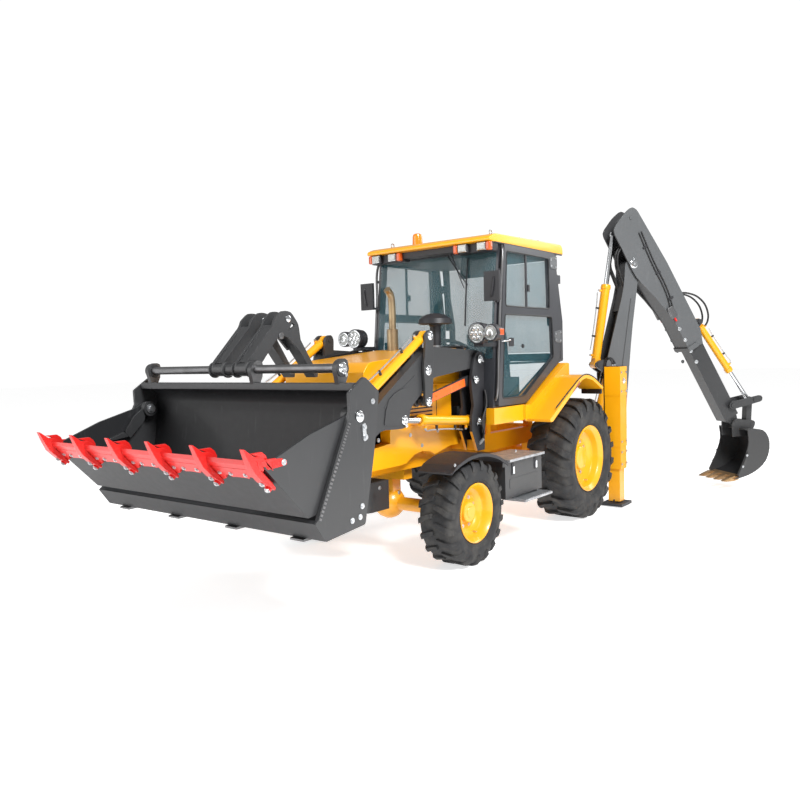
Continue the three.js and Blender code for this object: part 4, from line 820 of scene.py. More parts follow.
def makeTooth(look, reach, y, corner):
    # A tooth on the lip's end, at this reach. A corner tooth has a cheek on its outer side.
    def ahead(*points):
        return [(reach + x, z) for x, z in points]

    half = look["toothHalf"]
    outline = ahead((-150, -24), (-158, -40), (-60, -62), (30, -64), (110, -40), (182, -14), (178, -8),
                    (96, 4), (62, 34), (20, 44), (-66, 40), (-72, 28), (-4, 26), (6, 14), (4, -24))
    shape = panel(outline, y - half, y + half, 4)
    for vert in shape.verts:
        beyond = max(0.0, vert.co.x - reach - 30) / 150
        vert.co.y = y + (vert.co.y - y) * (1 - 0.45 * beyond)
    rib = ahead((-40, 38), (30, 44), (120, 6), (60, 70), (24, 76), (-10, 66))
    merge(shape, panel(rib, y - 9, y + 9, 3))
    for inset in look["boltInsets"]:
        merge(shape, rod((reach - inset, y, -36), (reach - inset, y, -62), 22, 20, 3))
    if corner:
        cheek = ahead((-30, 6), (44, 10), (10, 60), (-60, 128), (-108, 150), (-128, 128), (-96, 84))
        merge(shape, panel(cheek, *sorted((y + corner * half, y + corner * (half - 12))), 3))
    return shape


def makeCuttingEdge(look):
    (heelX, heelZ), (tipX, tipZ) = look["heel"], look["tip"]
    slope = atan2(tipZ - heelZ, tipX - heelX)
    reach = hypot(tipX - heelX, tipZ - heelZ)
    onFloor = Matrix.Translation((heelX, 0, heelZ)) @ Matrix.Rotation(-slope, 4, "Y")
    edge = Piece("cuttingEdge", machine @ onFloor, redPaint)
    lip = [(reach - 6, -2), (reach - 10, -20), (reach + 40, -20), (reach + 66, -3)]
    edge.add(panel(lip, -look["clamHalf"], look["clamHalf"], 2))
    last = look["teeth"] - 1
    places = [(i / last - 0.5) * 2 * (look["clamHalf"] - look["toothHalf"]) for i in range(last + 1)]
    for left, right in zip(places, places[1:]):
        middle, half = (left + right) / 2, (right - left) / 2
        scallops = []
        for step in range(25):
            t = step / 24 * 2 - 1
            depth = 150 - 60 * (1 - t * t) - (26 if abs(abs(t) - 0.5) < 0.12 else 0)
            scallops.append((reach - depth, middle + t * half))
        edge.add(floorPlate(scallops + [(reach - 4, right), (reach - 4, left)], -22, -3, 1.5))
        for share in (-0.46, -0.18, 0.18, 0.46):
            spot = (reach - 62, middle + share * 2 * half * 0.8, -21)
            edge.add(bolt(spot, (0, 0, -1), 11), zincSteel)
    for i, y in enumerate(places):
        corner = {0: -1, last: 1}.get(i, 0)
        edge.add(makeTooth(look, reach, y, corner))
        for inset in look["boltInsets"]:
            edge.add(bolt((reach - inset, y, -62), (0, 0, -1), 13), zincSteel)
            edge.add(bolt((reach - inset, y, 25), (0, 0, 1), 10), zincSteel)
        if corner:
            spot = (reach - 96, y + corner * look["toothHalf"], 122)
            edge.add(bolt(spot, (0, corner, 0), 13), zincSteel)
    edge.close("clam", "red", ("cutting_edge",))


def makeBucketTrim(look):
    trim = Piece("bucketTrim", main=charcoalPaint)
    trim.add(block((3930, -1196, 1596), (3988, 1196, 1650), 8, 3))
    trim.add(block((3800, -1150, 1180), (3824, 1150, 1240), 4))
    skid = rounded([(4120, 690), (4330, 668), (4330, 652), (4180, 655)], 6)
    rib = [(3812, 1500), (3790, 1230), (3870, 930), (3918, 760), (3926, 780), (3884, 930), (3812, 1232),
           (3826, 1500)]
    stop = rounded([(3896, 1268), (3930, 1262), (3942, 1376), (3908, 1388)], 14)
    for y in look["ribs"]:
        trim.add(panel(skid, y - 60, y + 60, 3), darkSteel)
        trim.add(panel(rib, y - 8, y + 8, 2))
    jointLine = [Vector(p) for p in ((4370, 822), (4262, 1030), (4150, 1240), (4066, 1410))]
    outer, dashes, back = look["outer"], look["dashes"], Vector((-22, -10))
    for side in sides:
        for start, end in zip(jointLine, jointLine[1:]):
            for step in range(dashes):
                low, high = start.lerp(end, step / dashes), start.lerp(end, (step + 0.55) / dashes)
                dash = [low, high, high + back, low + back]
                trim.add(panel(dash, *span(side, outer - 1, outer + 4), 1), darkSteel)
        trim.add(panel(stop, *span(side, outer - 2, outer + 8), 2), zincSteel)
        trim.bolts(side, outer + 8, 14, (3912, 1290), (3922, 1356))
        trim.bolts(side, outer, 13, (3958, 838), (3982, 770), (3820, 1520), (4060, 760))
        trim.pin(side, outer + 4, look["clamHinge"], 26)
        x, z = look["shaft"]
        trim.add(lathe([(34, 0), (58, 0), (58, 44), (52, 50), (34, 50)], (x, side * 1086, z),
                       (0, -side, 0), 32))
        trim.pin(side, 1085, look["shaft"], 28, 240)
        trim.pin(side, 680, look["armPin"], 32, 120)
        trim.pin(side, 662, armLook["tiltEye"], 24, 60)
    trim.close("bucket", "charcoal")


def makeClamTrim(look):
    trim = Piece("clamTrim", main=charcoalPaint)
    inner = look["clamHalf"] - 22
    x, z = look["clamHinge"]
    gusset = rounded([(3985, 1462), (4110, 1372), (4195, 1252), (4150, 1196), (4010, 1330)], 16)
    stay = [(4160, 1230), (4200, 1252), (4330, 1210), (4330, 1190), (4170, 1210)]
    for side in sides:
        boss = [(30, 0), (62, 0), (62, 52), (54, 60), (30, 60)]
        cap = [(0, 0), (40, 0), (40, 8), (26, 10), (24, 22), (0, 24)]
        trim.add(lathe(boss, (x, side * (inner - 60), z), (0, side, 0), 32))
        trim.add(lathe(cap, (x, side * (inner - 62), z), (0, -side, 0), 28), zincSteel)
        trim.add(panel(gusset, *span(side, inner - 40, inner - 22), 3))
        trim.add(panel(stay, *span(side, inner - 36, inner), 3))
    trim.add(panel([(4412, 838), (4440, 866), (4428, 880), (4402, 852)], -1180, 1180, 2), darkSteel)
    trim.close("clam", "charcoal")


def makeForkTrim(look):
    trim = Piece("forkTrim", main=charcoalPaint)
    x, z = look["shaft"]
    washer = [(0, -1), (26, -1), (26, 6), (20, 9), (0, 10)]
    collar = [(34, -2), (62, -2), (62, 8), (54, 12), (34, 12)]
    for y in (-236, 30):
        for spot, finish in (((3560, 2128), chromePlate), ((3640, 1995), darkSteel)):
            trim.add(rod((spot[0], y + 20, spot[1]), (spot[0], y + 120, spot[1]), 20, 20, 2), darkSteel)
            for side, face in ((1, y + 140), (-1, y)):
                trim.add(lathe(washer, (spot[0], face, spot[1]), (0, side, 0), 24), finish)
        for side, face in ((1, y + 144), (-1, y - 4)):
            trim.add(lathe(collar, (x, face, z), (0, side, 0), 32))
    trim.close("forks", "charcoal")


# ---- loader arms ----
armLook = {
    "centre": 590, "armPivot": (1582, 1766), "linkPivot": (1656, 1574), "liftBase": (1608, 1186),
    "leverPivot": (2405, 1685), "leverTop": (2368, 1984), "leverFoot": (2408, 1414),
    "liftEye": (2720, 1280), "tiltEye": (3600, 1235), "hoseDrops": (0, 26, 52), "hoseInner": 496,
    "stripeWidth": 70,
}


def makeArmTrim(look, side):
    # Three hoses run inside the arm, clear of the lever's inner plate.
    arms = Piece(f"armPins.{sideName[side]}", main=blackPlastic).pin(side, 638, look["liftEye"], 30, 250)
    for start, end, width in (((2560, 1640), (2980, 1400), 16), ((3080, 1380), (3560, 990), 12)):
        arms.add(strip(start, end, width, *span(side, 629, 633)), charcoalPaint)
    inner = side * look["hoseInner"]
    for drop in look["hoseDrops"]:
        hose = [(1700, side * (552 + drop), 1876), (1900, side * (530 + drop * 0.5), 1886),
                (2140, inner, 1858 - drop)]
        hose += [(x, inner, z - drop) for x, z in ((2480, 1800), (2800, 1610), (3060, 1430), (3270, 1250))]
        arms.add(pipe(hose, 11, 10, 6), hoseRubber)
    arms.add(slabOn(side, (1760, 1788), (540, 618), (1860, 1898), 4))
    for x, z in ((2650, 1712), (2960, 1506), (3200, 1316)):
        arms.add(slabOn(side, (x - 14, x + 14), (482, 553), (z - 74, z + 20), 4))
    arms.close("loader_arms", "chrome")


makeCuttingEdge(bucketLook)
makeBucketTrim(bucketLook)
makeClamTrim(bucketLook)
makeForkTrim(bucketLook)
print("bucket detail made")

for side in sides:
    name, look = sideName[side], armLook
    tower = Piece(f"towerPins.{name}")
    for spot, size, keeper in (("armPivot", 30, 200), ("linkPivot", 24, 30), ("liftBase", 28, 330)):
        tower.pin(side, 674, look[spot], size, keeper)
    tower.close("frame", "chrome")
    makeArmTrim(look, side)
    lever = Piece(f"leverPins.{name}")
    for spot, size in (("leverPivot", 30), ("leverTop", 26), ("leverFoot", 26)):
        lever.pin(side, 664, look[spot], size)
    lever.close(f"lever_{name}", "chrome")
    tie = Piece(f"tieStripe.{name}", main=orangePaint)
    start, end = Vector(look["linkPivot"]), Vector(look["leverFoot"])
    tie.add(strip(start.lerp(end, 0.13), start.lerp(end, 0.87), look["stripeWidth"], *span(side, 606, 610)))
    tie.bolts(side, 610, 6, start.lerp(end, 0.25), start.lerp(end, 0.75), finish=orangePaint)
    tie.close(f"tie_link_{name}", "charcoal")
    y = side * look["centre"]
    dressBarrel(f"liftFittings.{name}", f"lift_barrel_{name}", look["liftBase"], look["liftEye"], y, 46,
                840, above=-1)
    dressBarrel(f"tiltFittings.{name}", f"tilt_barrel_{name}", look["leverTop"], look["tiltEye"], y, 38, 960)
print("loader arm detail made")

# ---- bonnet and nose ----
noseLook = {
    "louvres": 7, "louvrePitch": 34, "grilleBars": 9, "grillePitch": 48, "sideHalf": 446, "boltFace": 460,
    "bolts": ((2000, 1120), (2420, 1120), (2860, 1120), (2860, 720), (2600, 640), (2250, 1010)),
}
bonnetLook = {"vents": 6, "ventPitch": 62, "sideHalf": 458, "airCleaner": (1900, 390),
              "exhaust": (1750, -240)}


def makeNose(look):
    nose = Piece("noseTrim", main=blackPlastic)
    face = look["sideHalf"]
    for side in sides:
        for i in range(look["louvres"]):
            z = 1270 + i * look["louvrePitch"]
            louvre = rounded([(2060, z), (2560, z), (2560, z + 12), (2060, z + 12)], 5)
            nose.add(panel(louvre, *span(side, face - 3, face + 3), 1.5))
        for x in (1990, 2640):
            nose.add(strip((x, 1218), (x, 1540), 5, *span(side, face - 2, face + 1), 0))
        nose.bolts(side, look["boltFace"], 12, *look["bolts"])
    for i in range(look["grilleBars"]):
        z = 1100 + i * look["grillePitch"]
        nose.add(block((2992, -380, z), (3010, 380, z + 26), 4))
    nose.close("frame", "black")


def makeBonnet(look):
    bonnet = Piece("bonnetTrim", main=blackPlastic)
    face = look["sideHalf"]
    for side in sides:
        for i in range(look["vents"]):
            x = 2120 + i * look["ventPitch"]
            vent = rounded([(x, 1640), (x + 34, 1640), (x + 34, 1760), (x, 1760)], 12)
            bonnet.add(panel(vent, *span(side, face - 1, face + 6), 2))
        bonnet.add(rod((2720, side * face, 1610), (2720, side * (face + 16), 1610), 20, 24, 3))
    bonnet.close("hood", "black")


def makeStacks(look):
    stacks = Piece("stacks", main=blackPlastic)
    x, y = look["airCleaner"]
    cap = [(0, 1700), (50, 1700), (51, 2080), (60, 2090), (60, 2098), (142, 2100), (150, 2106),
           (150, 2116), (136, 2150), (102, 2180), (56, 2198), (0, 2206)]
    stacks.add(lathe(cap, (x, y, 0), (0, 0, 1), 56))
    stacks.add(lathe([(50, 1880), (58, 1880), (58, 1904), (50, 1904)], (x, y, 0), (0, 0, 1), 40), zincSteel)
    x, y = look["exhaust"]
    bend = [(x, y, 1640), (x, y, 2000), (x, y, 2350), (x + 14, y, 2420), (x + 72, y, 2474)]
    stacks.add(pipe(bend, 35, 28, 12), heatedPipe)
    stacks.add(lathe([(35, 1780), (56, 1784), (56, 2080), (35, 2086)], (x, y, 0), (0, 0, 1), 40), heatedPipe)
    stacks.close("frame", "black")


makeNose(noseLook)
makeBonnet(bonnetLook)
makeStacks(bonnetLook)
print("bonnet detail made")

# ---- cab ----
cabLook = {
    "lamps": (434, 649), "indicators": (352, 722), "lampZ": 2834, "doorOut": 776, "beacon": (1000, -454),
    "ringX": (260, 1240), "pods": ((750, 95, 7), (895, 75, 1)), "podZ": 2004,
    "hinges": ((250, 2761), (160, 1980)),
}
doorPanes = ([(1225, 2800), (350, 2800), (340, 2270), (1262, 2270)],
             [(1275, 2190), (290, 2190), (260, 1760), (920, 1380), (1352, 1380)])
screenX = lambda z: 1476 - 0.1078 * (z - 1295)
postX = lambda z, out: 1430 - 0.108 * (z - 1309) + out


def makeRoofTrim(look):
    roof = Piece("roofTrim", main=blackPlastic)
    lampZ = look["lampZ"]
    for side in sides:
        roof.add(slabOn(side, (1330, 1440), (310, 748), (2786, 2878), 12))
        roof.add(slabOn(side, (1330, 1440), (-5, 320), (2812, 2878), 8))
        for y in look["lamps"]:
            for reach, half, low, high, edge, finish in (
                    ((1430, 1482), 58, 46, 44, 12, blackPlastic), ((1478, 1490), 49, 38, 37, 9, chromePlate),
                    ((1484, 1497), 44, 33, 32, 8, whiteLens)):
                roof.add(slabOn(side, reach, (y - half, y + half), (lampZ - low, lampZ + high), edge, 3),
                         finish)
        for y in look["indicators"]:
            roof.add(slabOn(side, (1430, 1492), (y - 24, y + 24), (lampZ - 44, lampZ + 40), 14, 3),
                     orangeLens)
        for x in look["ringX"]:
            eye = [(20, -6), (26, -6), (28, 0), (26, 6), (20, 6), (18, 0), (20, -6)]
            roof.add(lathe(eye, (x, side * 610, 2994), (0, 1, 0), 24), zincSteel)
            roof.add(rod((x, side * 610, 2955), (x, side * 610, 2974), 16, 16, 2), zincSteel)
        roof.add(slabOn(side, (-20, 1400), (735, 757), (2862, 2876), 3))
    hatch = rounded([(150, -560), (1150, -560), (1150, 560), (150, 560)], 90)
    roof.add(floorPlate(hatch, 2950, 2988, 10), yellowPaint)
    beacon = (*look["beacon"], 0)
    roof.add(lathe([(0, 2950), (66, 2950), (66, 2990), (58, 3000), (0, 3000)], beacon, (0, 0, 1), 32))
    dome = [(0, 2998), (54, 2998), (56, 3010), (52, 3100), (46, 3122), (30, 3132), (0, 3135)]
    roof.add(lathe(dome, beacon, (0, 0, 1), 32), beaconLens)
    roof.add(block((150, -700, 2806), (1270, 700, 2864), 10))
    roof.close("frame", "black")


def makeFrontTrim():
    front = Piece("frontTrim", main=blackPlastic)
    for (footY, footZ), (tipY, tipZ) in (((136, 2846), (414, 2491)), ((198, 2840), (376, 2463))):
        arm = [(screenX(footZ) + 26, footY, footZ),
               (screenX(2650) + 30, (footY + tipY) / 2, (footZ + tipZ) / 2), (screenX(tipZ) + 22, tipY, tipZ)]
        front.add(pipe(arm, 6, 8, 4))
        front.add(rod((screenX(footZ) - 10, footY, footZ), (screenX(footZ) + 34, footY, footZ), 16, 16, 3))
    blade = [(screenX(z) + lift, 396, z) for z, lift in ((2760, 12), (2480, 16), (2090, 12))]
    front.add(pipe(blade, 8, 8, 4))
    for side in sides:
        rail = [(postX(z, 26), side * 768, z) for z in (2800, 2400, 1900, 1420)]
        rail = [(postX(2846, 4), side * 742, 2852)] + rail + [(postX(1370, 4), side * 742, 1366)]
        front.add(pipe(rail, 13, 16, 8), darkSteel)
        for z in (2600, 1960):
            front.add(slabOn(side, (postX(z, 8), postX(z, 36)), (734, 760), (z, z + 30), 3))
        front.add(slabOn(side, (1476, 1481), (692, 843), (2317, 2583), 2), chromePlate)
        front.add(rod((1494, side * 790, 2540), (1520, side * 800, 2520), 10, 12, 2))
        bracket = [(1516, side * 798, 2524), (1524, side * 790, 2440), (1512, side * 768, 2352),
                   (1420, side * 748, 2330)]
        front.add(pipe(bracket, 7, 10, 6))
        ball = bmesh.new()
        bmesh.ops.create_uvsphere(ball, u_segments=20, v_segments=12, radius=24)
        bmesh.ops.translate(ball, vec=(1362, side * 742, 2322), verts=ball.verts)
        front.add(ball)
    front.close("frame", "black")


def makeHeadLamps(look, side):
    # Two round lamps on one arm: the inner one has a ring of small lamps, the outer one a single lamp.
    pods = Piece(f"headLamps.{sideName[side]}", main=blackPlastic)
    z = look["podZ"]
    for y, radius, dots in look["pods"]:
        middle = (0, side * y, z)
        shell = [(0, 1610), (radius * 0.5, 1612), (radius * 0.86, 1634), (radius + 5, 1690),
                 (radius + 6, 1738), (radius + 3, 1754), (radius - 3, 1756), (radius - 5, 1744), (0, 1744)]
        bowl = [(radius - 5, 1746), (radius - 5, 1760), (radius - 11, 1762), (radius - 16, 1752), (0, 1748)]
        pods.add(lathe(shell, middle, (1, 0, 0), 48))
        pods.add(lathe(bowl, middle, (1, 0, 0), 48), chromePlate)
        glass = [(radius - 14, 1750), (radius - 22, 1756), (0, 1764)]
        pods.add(lathe(glass, middle, (1, 0, 0), 40), whiteLens)
        for i in range(dots):
            reach = 0 if i == 6 or dots == 1 else radius * 0.5
            spot = (0, side * y + reach * cos(i * pi / 3), z + reach * sin(i * pi / 3))
            size = 20 if dots > 1 else 34
            rim = [(size, 1755), (size, 1762), (size - 4, 1768), (0, 1772)]
            pods.add(lathe(rim, spot, (1, 0, 0), 24), chromePlate)
            pods.add(lathe([(size - 7, 1767), (0, 1776)], spot, (1, 0, 0), 20), whiteLens)
    pods.add(slabOn(side, (1640, 1720), (950, 976), (1980, 2040), 8), orangeLens)
    pods.close("frame", "black")


def makeDoorTrim(look, side):
    name, out = sideName[side], look["doorOut"]
    door = Piece(f"doorTrim.{name}", main=blackPlastic)
    for pane in doorPanes:
        loop = rounded(pane, 36, 4)
        door.add(pipe([(x, side * (out - 3), z) for x, z in loop + loop[:1]], 8, 8, 2), hoseRubber)
    door.add(slabOn(side, (800, 836), (out - 22, out - 12), (2268, 2802), 3))
    door.add(slabOn(side, (760, 800), (out - 30, out - 4), (2430, 2500), 6))
    grip = ((1212, -2, 1938), (1226, 26, 1940), (1330, 26, 1934), (1346, -2, 1930))
    handle = [(x, side * (out + lift), z) for x, lift, z in grip]
    door.add(pipe(handle, 9, 12, 6), chromePlate)
    door.add(slabOn(side, (1120, 1216), (out - 3, out + 6), (1880, 1964), 10))
    door.add(rod((940, side * (out - 4), 1882), (940, side * (out + 10), 1882), 22, 24, 3))
    for x, z in look["hinges"]:
        leaf = rounded([(x - 90, z - 70), (x + 70, z - 62), (x + 84, z + 50), (x - 90, z + 74)], 20)
        door.add(panel(leaf, *span(side, out - 4, out + 7), 3), greyPaintAndPaintedLight)
        spots = [(x + dx, z + dz) for dx, dz in ((-60, -44), (46, -36), (54, 28), (-60, 46))]
        door.bolts(side, out + 7, 8, *spots)
    door.close(f"door_{name}", "charcoal")


makeRoofTrim(cabLook)
makeFrontTrim()
for side in sides:
    makeHeadLamps(cabLook, side)
for side in sides:
    makeDoorTrim(cabLook, side)
print("cab detail made")

# ---- cab inside ----
seatLook = {
    "seatCushion": {"half": (235, 240, 62), "crown": 30, "seams": (-0.45, 0.0, 0.45), "place": (605, 0, 1478),
                    "tilt": -3, "turn": 0},
    "seatBack": {"half": (262, 235, 52), "crown": 26, "seams": (-0.5, -0.1, 0.3), "place": (330, 0, 1790),
                 "tilt": -82, "turn": 180},
}
insideLook = {"wheelPlace": (1050, 0, 1890), "wheelTilt": -25, "wheelRadius": 172, "grip": 16,
              "leverX": (650, 720, 800)}


def makePad(look, cuts=14):
    # A crowned pad with pulled-in sides and sewn channels across it.
    shape = bmesh.new()
    bmesh.ops.create_cube(shape, size=1)
    bmesh.ops.subdivide_edges(shape, edges=shape.edges, cuts=cuts, use_grid_fill=True)
    length, width, depth = look["half"]
    for vert in shape.verts:
        x, y, z = vert.co * 2
        top = max(0.0, z)
        pull = 1 - 0.10 * (1 - abs(z)) ** 2
        rise = top * look["crown"] * max(0.0, (1 - x * x) * (1 - y * y)) ** 0.5
        sew = sum(max(0.0, 1 - abs(x - seam) / 0.05) for seam in look["seams"]) * 9 * top
        vert.co = (x * length * pull, y * width * pull, z * depth + rise - sew)
    bmesh.ops.smooth_vert(shape, verts=shape.verts, factor=0.5, use_axis_x=True, use_axis_y=True,
                          use_axis_z=True)
    return shape


def makeSeat(looks):
    replaced = ("seat",)
    for name, look in looks.items():
        place = (Matrix.Translation(look["place"]) @ Matrix.Rotation(radians(look["tilt"]), 4, "Y")
                 @ Matrix.Rotation(radians(look["turn"]), 4, "Z"))
        pad = Piece(name, machine @ place, seatFabric).add(makePad(look))
        pad = pad.close(bodyOf("seat"), "fabric", replaced, 60, False)
        rounder = pad.modifiers.new("round", "SUBSURF")
        rounder.levels = rounder.render_levels = 1
        replaced = ()


def makeInside(look):
    inside = Piece("cabInside", main=blackPlastic)
    inside.add(block((430, -150, 1212), (720, 150, 1400), 12))
    inside.add(block((350, -200, 1396), (850, 200, 1424), 10))
    inside.add(strip((300, 1440), (270, 2020), 26, -190, 190, 6))
    for side in sides:
        inside.add(slabOn(side, (420, 760), (262, 312), (1640, 1680), 12, 3))
        inside.add(rod((520, side * 286, 1440), (520, side * 286, 1650), 14, 12), darkSteel)
        for x in look["leverX"]:
            inside.add(rod((x, side * 460, 1555), (x + 20, side * 460, 1700), 7, 10), darkSteel)
            knob = [(0, 0), (16, 4), (20, 30), (14, 52), (0, 60)]
            inside.add(lathe(knob, (x + 20, side * 460, 1690), (0.1, 0, 1), 16))
        inside.add(strip((110, 2100), (150, 2830), 60, *span(side, 640, 700), 6), trimPlastic)
        inside.add(slabOn(side, (-40, 900), (560, 700), (1700, 1720), 6), trimPlastic)
    wheelPlace = Matrix.Translation(look["wheelPlace"]) @ Matrix.Rotation(radians(look["wheelTilt"]), 4, "Y")
    radius, grip = look["wheelRadius"], look["grip"]
    ring = [(radius + 6 + grip * cos(t * pi / 6), grip * sin(t * pi / 6)) for t in range(13)]
    inside.add(lathe(ring, (0, 0, 0), (0, 0, 1), 48), place=wheelPlace)
    inside.add(lathe([(0, -10), (52, -10), (56, 6), (44, 20), (0, 24)], (0, 0, 0), (0, 0, 1), 32),
               place=wheelPlace)
    for i in range(3):
        along = Vector((cos(i * 2 * pi / 3 + pi / 2), sin(i * 2 * pi / 3 + pi / 2), 0))
        spoke = rod(along * 40 + Vector((0, 0, 4)), along * (radius + 2) + Vector((0, 0, 2)), 9, 10)
        inside.add(spoke, place=wheelPlace)
    column = rounded([(1180, 1540), (1390, 1540), (1400, 1790), (1330, 1830), (1240, 1760), (1160, 1640)], 30)
    inside.add(panel(column, -190, 190, 10, 3), trimPlastic)
    inside.add(rod((1120, 120, 1800), (1060, 190, 1905), 7, 8))
    inside.add(block((1316, -690, 1540), (1388, 690, 1760), 12), trimPlastic)
    inside.add(strip((screenX(2800) - 14, 2800), (screenX(2560) - 14, 2560), 5, 300, 690, 1), trimPlastic)
    inside.close("frame", "black")


makeSeat(seatLook)
makeInside(insideLook)
print("cab inside made")

# ---- boxes, steps and fenders ----
lowerLook = {"latchX": (1120, 1560), "treads": 12, "treadPitch": 44, "towerHoses": 4,
             "tailLamps": (redLens, orangeLens, whiteLens)}


def makeLowerTrim(look, side):
    lower = Piece(f"lowerTrim.{sideName[side]}", main=blackPlastic)
    for x in look["latchX"]:
        lower.add(slabOn(side, (x, x + 44), (998, 1006), (690, 800), 4))
        tab = rounded([(x + 8, 700), (x + 36, 700), (x + 36, 772), (x + 8, 772)], 8)
        lower.add(panel(tab, *span(side, 1006, 1018), 3), chromePlate)
    cover = rounded([(1080, 560), (1640, 560), (1640, 660), (1080, 660)], 24)
    lower.add(panel(cover, *span(side, 998, 1003), 2), charcoalPaint)
    for i in range(look["treads"]):
        x = 1036 + i * look["treadPitch"]
        lower.add(slabOn(side, (x, x + 12), (886, 1114), (460, 468), 1.5), zincSteel)
    arch = ((800, 1262), (420, 1452), (204, 1546), (94, 1566), (-100, 1532), (-320, 1436))
    bead = [(x, side * 1066, z) for x, z in arch]
    lower.add(pipe(bead, 6, 8, 6), hoseRubber)
    lower.add(panel([(250, 1500), (420, 1388), (250, 1470)], *span(side, 1064, 1069), 1), redLens)
    lower.add(slabOn(side, (-402, -362), (800, 1040), (1330, 1410), 10))
    for i, finish in enumerate(look["tailLamps"]):
        lower.add(slabOn(side, (-410, -400), (812 + i * 74, 878 + i * 74), (1342, 1398), 6), finish)
    lower.bolts(side, 1046, 9, (1600, 917), (2600, 917))
    lower.close("frame", "charcoal")


def makeTowerHoses(look):
    hoses = Piece("towerHoses", main=hoseRubber)
    for side in sides:
        for i in range(look["towerHoses"]):
            y, x, bulge = side * (672 + 9 * i), 1500 + 12 * i, 40 + 16 * i
            loop = [(x + 60, side * 640, 960), (x + 50, y, 1040), (x + bulge, y + side * 10, 1180),
                    (x + 20, y + side * 14, 1320), (x + 4, y + side * 6, 1400), (x, y - side * 10, 1470)]
            hoses.add(pipe(loop, 10, 10, 6))
            hoses.add(rod((x + 60, side * 640, 950), (x + 56, y, 1012), 14, 12, 2), zincSteel)
            y = side * (520 + i * 30)
            riser = [(1488 + i * 2, y, 1000), (1486, y, 1300), (1484, y, 1640),
                     (1520, side * (530 + i * 18), 1760)]
            hoses.add(pipe(riser, 9, 8, 5))
    hoses.close("frame", "black")


for side in sides:
    makeLowerTrim(lowerLook, side)
makeTowerHoses(lowerLook)
print("lower detail made")

# ---- stabilisers ----
legLook = {"place": (-765, 1045), "hoses": (-32, 30), "boltZ": (1560, 1340, 760, 640, 500),
           "footRibs": (-88, 88)}


def makeStabiliser(look, side):
    x, out = look["place"]
    y = side * out
    leg = Piece(f"stabiliserTrim.{sideName[side]}", main=hoseRubber)
    for shift in look["hoses"]:
        route = ((1, 20, 1622), (1, 30, 1690), (0.8, 90, 1720), (0.6, 128, 1640), (0.5, 128, 1480),
                 (0.5, 128, 1080))
        leg.add(pipe([(x + shift * share, y - side * inward, z) for share, inward, z in route], 12, 10, 8))
        leg.add(rod((x + shift, y - side * 20, 1612), (x + shift, y - side * 22, 1650), 16, 12, 2), zincSteel)
    leg.add(block((x - 78, y - 78, 1612), (x + 78, y + 78, 1632), 4), charcoalPaint)
    for z in look["boltZ"]:
        leg.bolts(side, out + 100, 10, (x - 70, z), (x + 70, z))
    leg.pin(side, 1144, (x, 1460), 22)
    leg.close("frame", "black")
    foot = Piece(f"stabiliserFoot.{sideName[side]}", main=blackPlastic)
    foot.add(lathe([(0, 0), (62, 0), (62, 20), (50, 34), (0, 36)], (x, y, 46), (0, 0, 1), 32))
    foot.add(block((x - 152, y - 127, 13), (x + 152, y + 127, 30), 6))
    for shift in look["footRibs"]:
        foot.add(panel([(x + shift - 30, 46), (x + shift + 30, 46), (x + shift * 0.55, 96)], y - 8, y + 8, 2))
    foot.close(bodyOf(f"stabiliser_leg_{sideName[side]}"), "black")


for side in sides:
    makeStabiliser(legLook, side)

# ---- backhoe ----
hoeLook = {
    "boomHalf": 115, "boomHoses": (-96, -68, 68, 96), "dipperHalf": 150, "padBolts": (1010, 1170, 1330,
                                                                                      1490), "padZ": 150,
    "pipeLifts": (200, 236), "clampX": (-120, 240, 600), "teeth": (-240, -80, 80, 240),
    "cutterBolts": ((1905, 290), (1965, 430)),
}


def makeBoomTrim(look):
    trim = Piece("boomTrim", hoePlane, hoseRubber)
    half = look["boomHalf"]
    for side in sides:
        trim.pin(side, half, (500, 2870), 38)
        trim.add(strip((300, 1300), (470, 2450), 10, *span(side, half - 1, half + 3)), charcoalPaint)
    for i, y in enumerate(look["boomHoses"]):
        grow = 10 * (i % 2)
        loop = [(412, y, 2560), (352 - grow, y, 2720), (300 - grow, y * 1.1, 2880),
                (330 - grow, y * 1.15, 3040 + grow), (450, y * 1.1, 3110 + grow), (560, y, 3040),
                (600, y * 0.9, 2960)]
        trim.add(pipe(loop, 13, 12, 8))
        trim.add(rod((600, y * 0.9, 2968), (612, y * 0.9, 2930), 17, 12, 2), zincSteel)
        trim.add(rod((406, y, 2580), (420, y, 2520), 17, 12, 2), zincSteel)
        trim.add(pipe([(420, y, 2520), (352, y, 2130), (262, y, 1720)], 10, 10, 6))
    trim.close("boom", "black")


def makeDipperTrim(look):
    trim = Piece("dipperTrim", dipperPlane, hoseRubber)
    face, padZ = look["dipperHalf"], look["padZ"]
    washer = [(0, -1), (24, -1), (24, 5), (18, 7), (0, 7)]
    for side in sides:
        for x in look["padBolts"]:
            trim.add(lathe(washer, (x, side * face, padZ), (0, side, 0), 24), zincSteel)
            trim.bolts(side, face + 7, 12, (x, padZ))
        trim.pin(side, face, (0, 0), 40, 150)
        for lift in look["pipeLifts"]:
            run = [(-300, lift + 40), (100, lift + 10), (520, lift), (760, lift - 50)]
            trim.add(pipe([(x, side * (face + 8), z) for x, z in run], 8, 8, 5))
        for x in look["clampX"]:
            trim.add(slabOn(side, (x, x + 26), (face - 2, face + 18), (196, 262), 3), blackPlastic)
        trim.add(slabOn(side, (700, 850), (face - 2, face + 34), (110, 190), 8), darkSteel)
        trim.add(rod((850, side * (face + 16), padZ), (900, side * (face + 16), padZ), 13, 6, 2), redPaint)
        loop = ((600, 60, 330), (700, 66, 520), (860, 66, 640), (1040, 64, 650), (1150, 60, 590),
                (1180, 58, 540))
        trim.add(pipe([(x, side * y, z) for x, y, z in loop], 12, 12, 8))
    trim.close("dipper", "black")


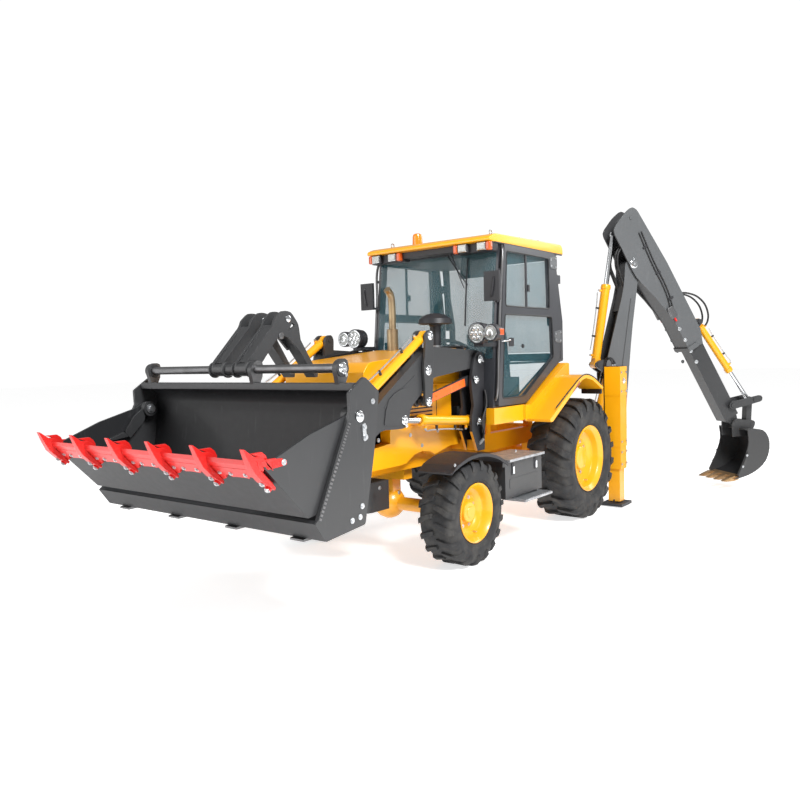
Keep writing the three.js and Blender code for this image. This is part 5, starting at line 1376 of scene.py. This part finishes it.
def makeHoeTeeth(look):
    teeth = Piece("hoeTeeth", hoePlane, toothBronze)
    outline = [(1640, 108), (1700, 100), (1800, 104), (1866, 122), (1868, 158), (1800, 170), (1720, 142)]
    for y in look["teeth"]:
        cap = panel(outline, y - 40, y + 40, 4)
        for vert in cap.verts:
            vert.co.y = y + (vert.co.y - y) * (1 - 0.00175 * max(0.0, 1840 - vert.co.x))
        teeth.add(cap)
        teeth.add(rod((1838, y - 46, 140), (1838, y + 46, 140), 9, 12, 2), darkSteel)
    cutter = rounded([(1850, 150), (1838, 186), (1930, 360), (1975, 470), (1998, 470), (1950, 330),
                      (1870, 160)], 8)
    for side in sides:
        teeth.add(panel(cutter, *span(side, 299, 312), 2), charcoalPaint)
        teeth.bolts(side, 310, 10, *look["cutterBolts"])
    teeth.close("hoe_bucket", "black")


makeBoomTrim(hoeLook)
makeDipperTrim(hoeLook)
dressBarrel("boomFittings", "boom_barrel", (30, 835), (330, 1950), 0, 55, 920, hoePlane)
dressBarrel("dipperFittings", "dipper_barrel", (40, 1640), (299, 3250), 0, 54, 1000, hoePlane)
dressBarrel("bucketFittings", "bucket_barrel", (1100, 495), (2350, 640), 0, 44, 800, dipperPlane)
makeHoeTeeth(hoeLook)
print("backhoe detail made")

# ---- floor ----
floorLook = {"color": (0.9, 0.9, 0.9), "shade": (0.86, 0.86, 0.86), "glow": 0.66, "half": 60}


def makeFloor(look):
    finish = Finish("paleFloor")
    speck = finish.mix(finish.noise(3, 4), look["color"], look["shade"])
    finish.surface(color=speck, roughness=0.6, glow=(1, 1, 1), glowStrength=look["glow"])
    shape = bmesh.new()
    bmesh.ops.create_grid(shape, x_segments=1, y_segments=1, size=look["half"])
    mesh = bpy.data.meshes.new("floor")
    shape.to_mesh(mesh)
    shape.free()
    mesh.materials.append(finish.material)
    floor = bpy.data.objects.new("floor", mesh)
    bpy.context.scene.collection.objects.link(floor)
    floor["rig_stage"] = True


makeFloor(floorLook)

size = {"cad": [list(corner) for corner in cadBox], "visual": [list(corner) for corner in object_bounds()]}
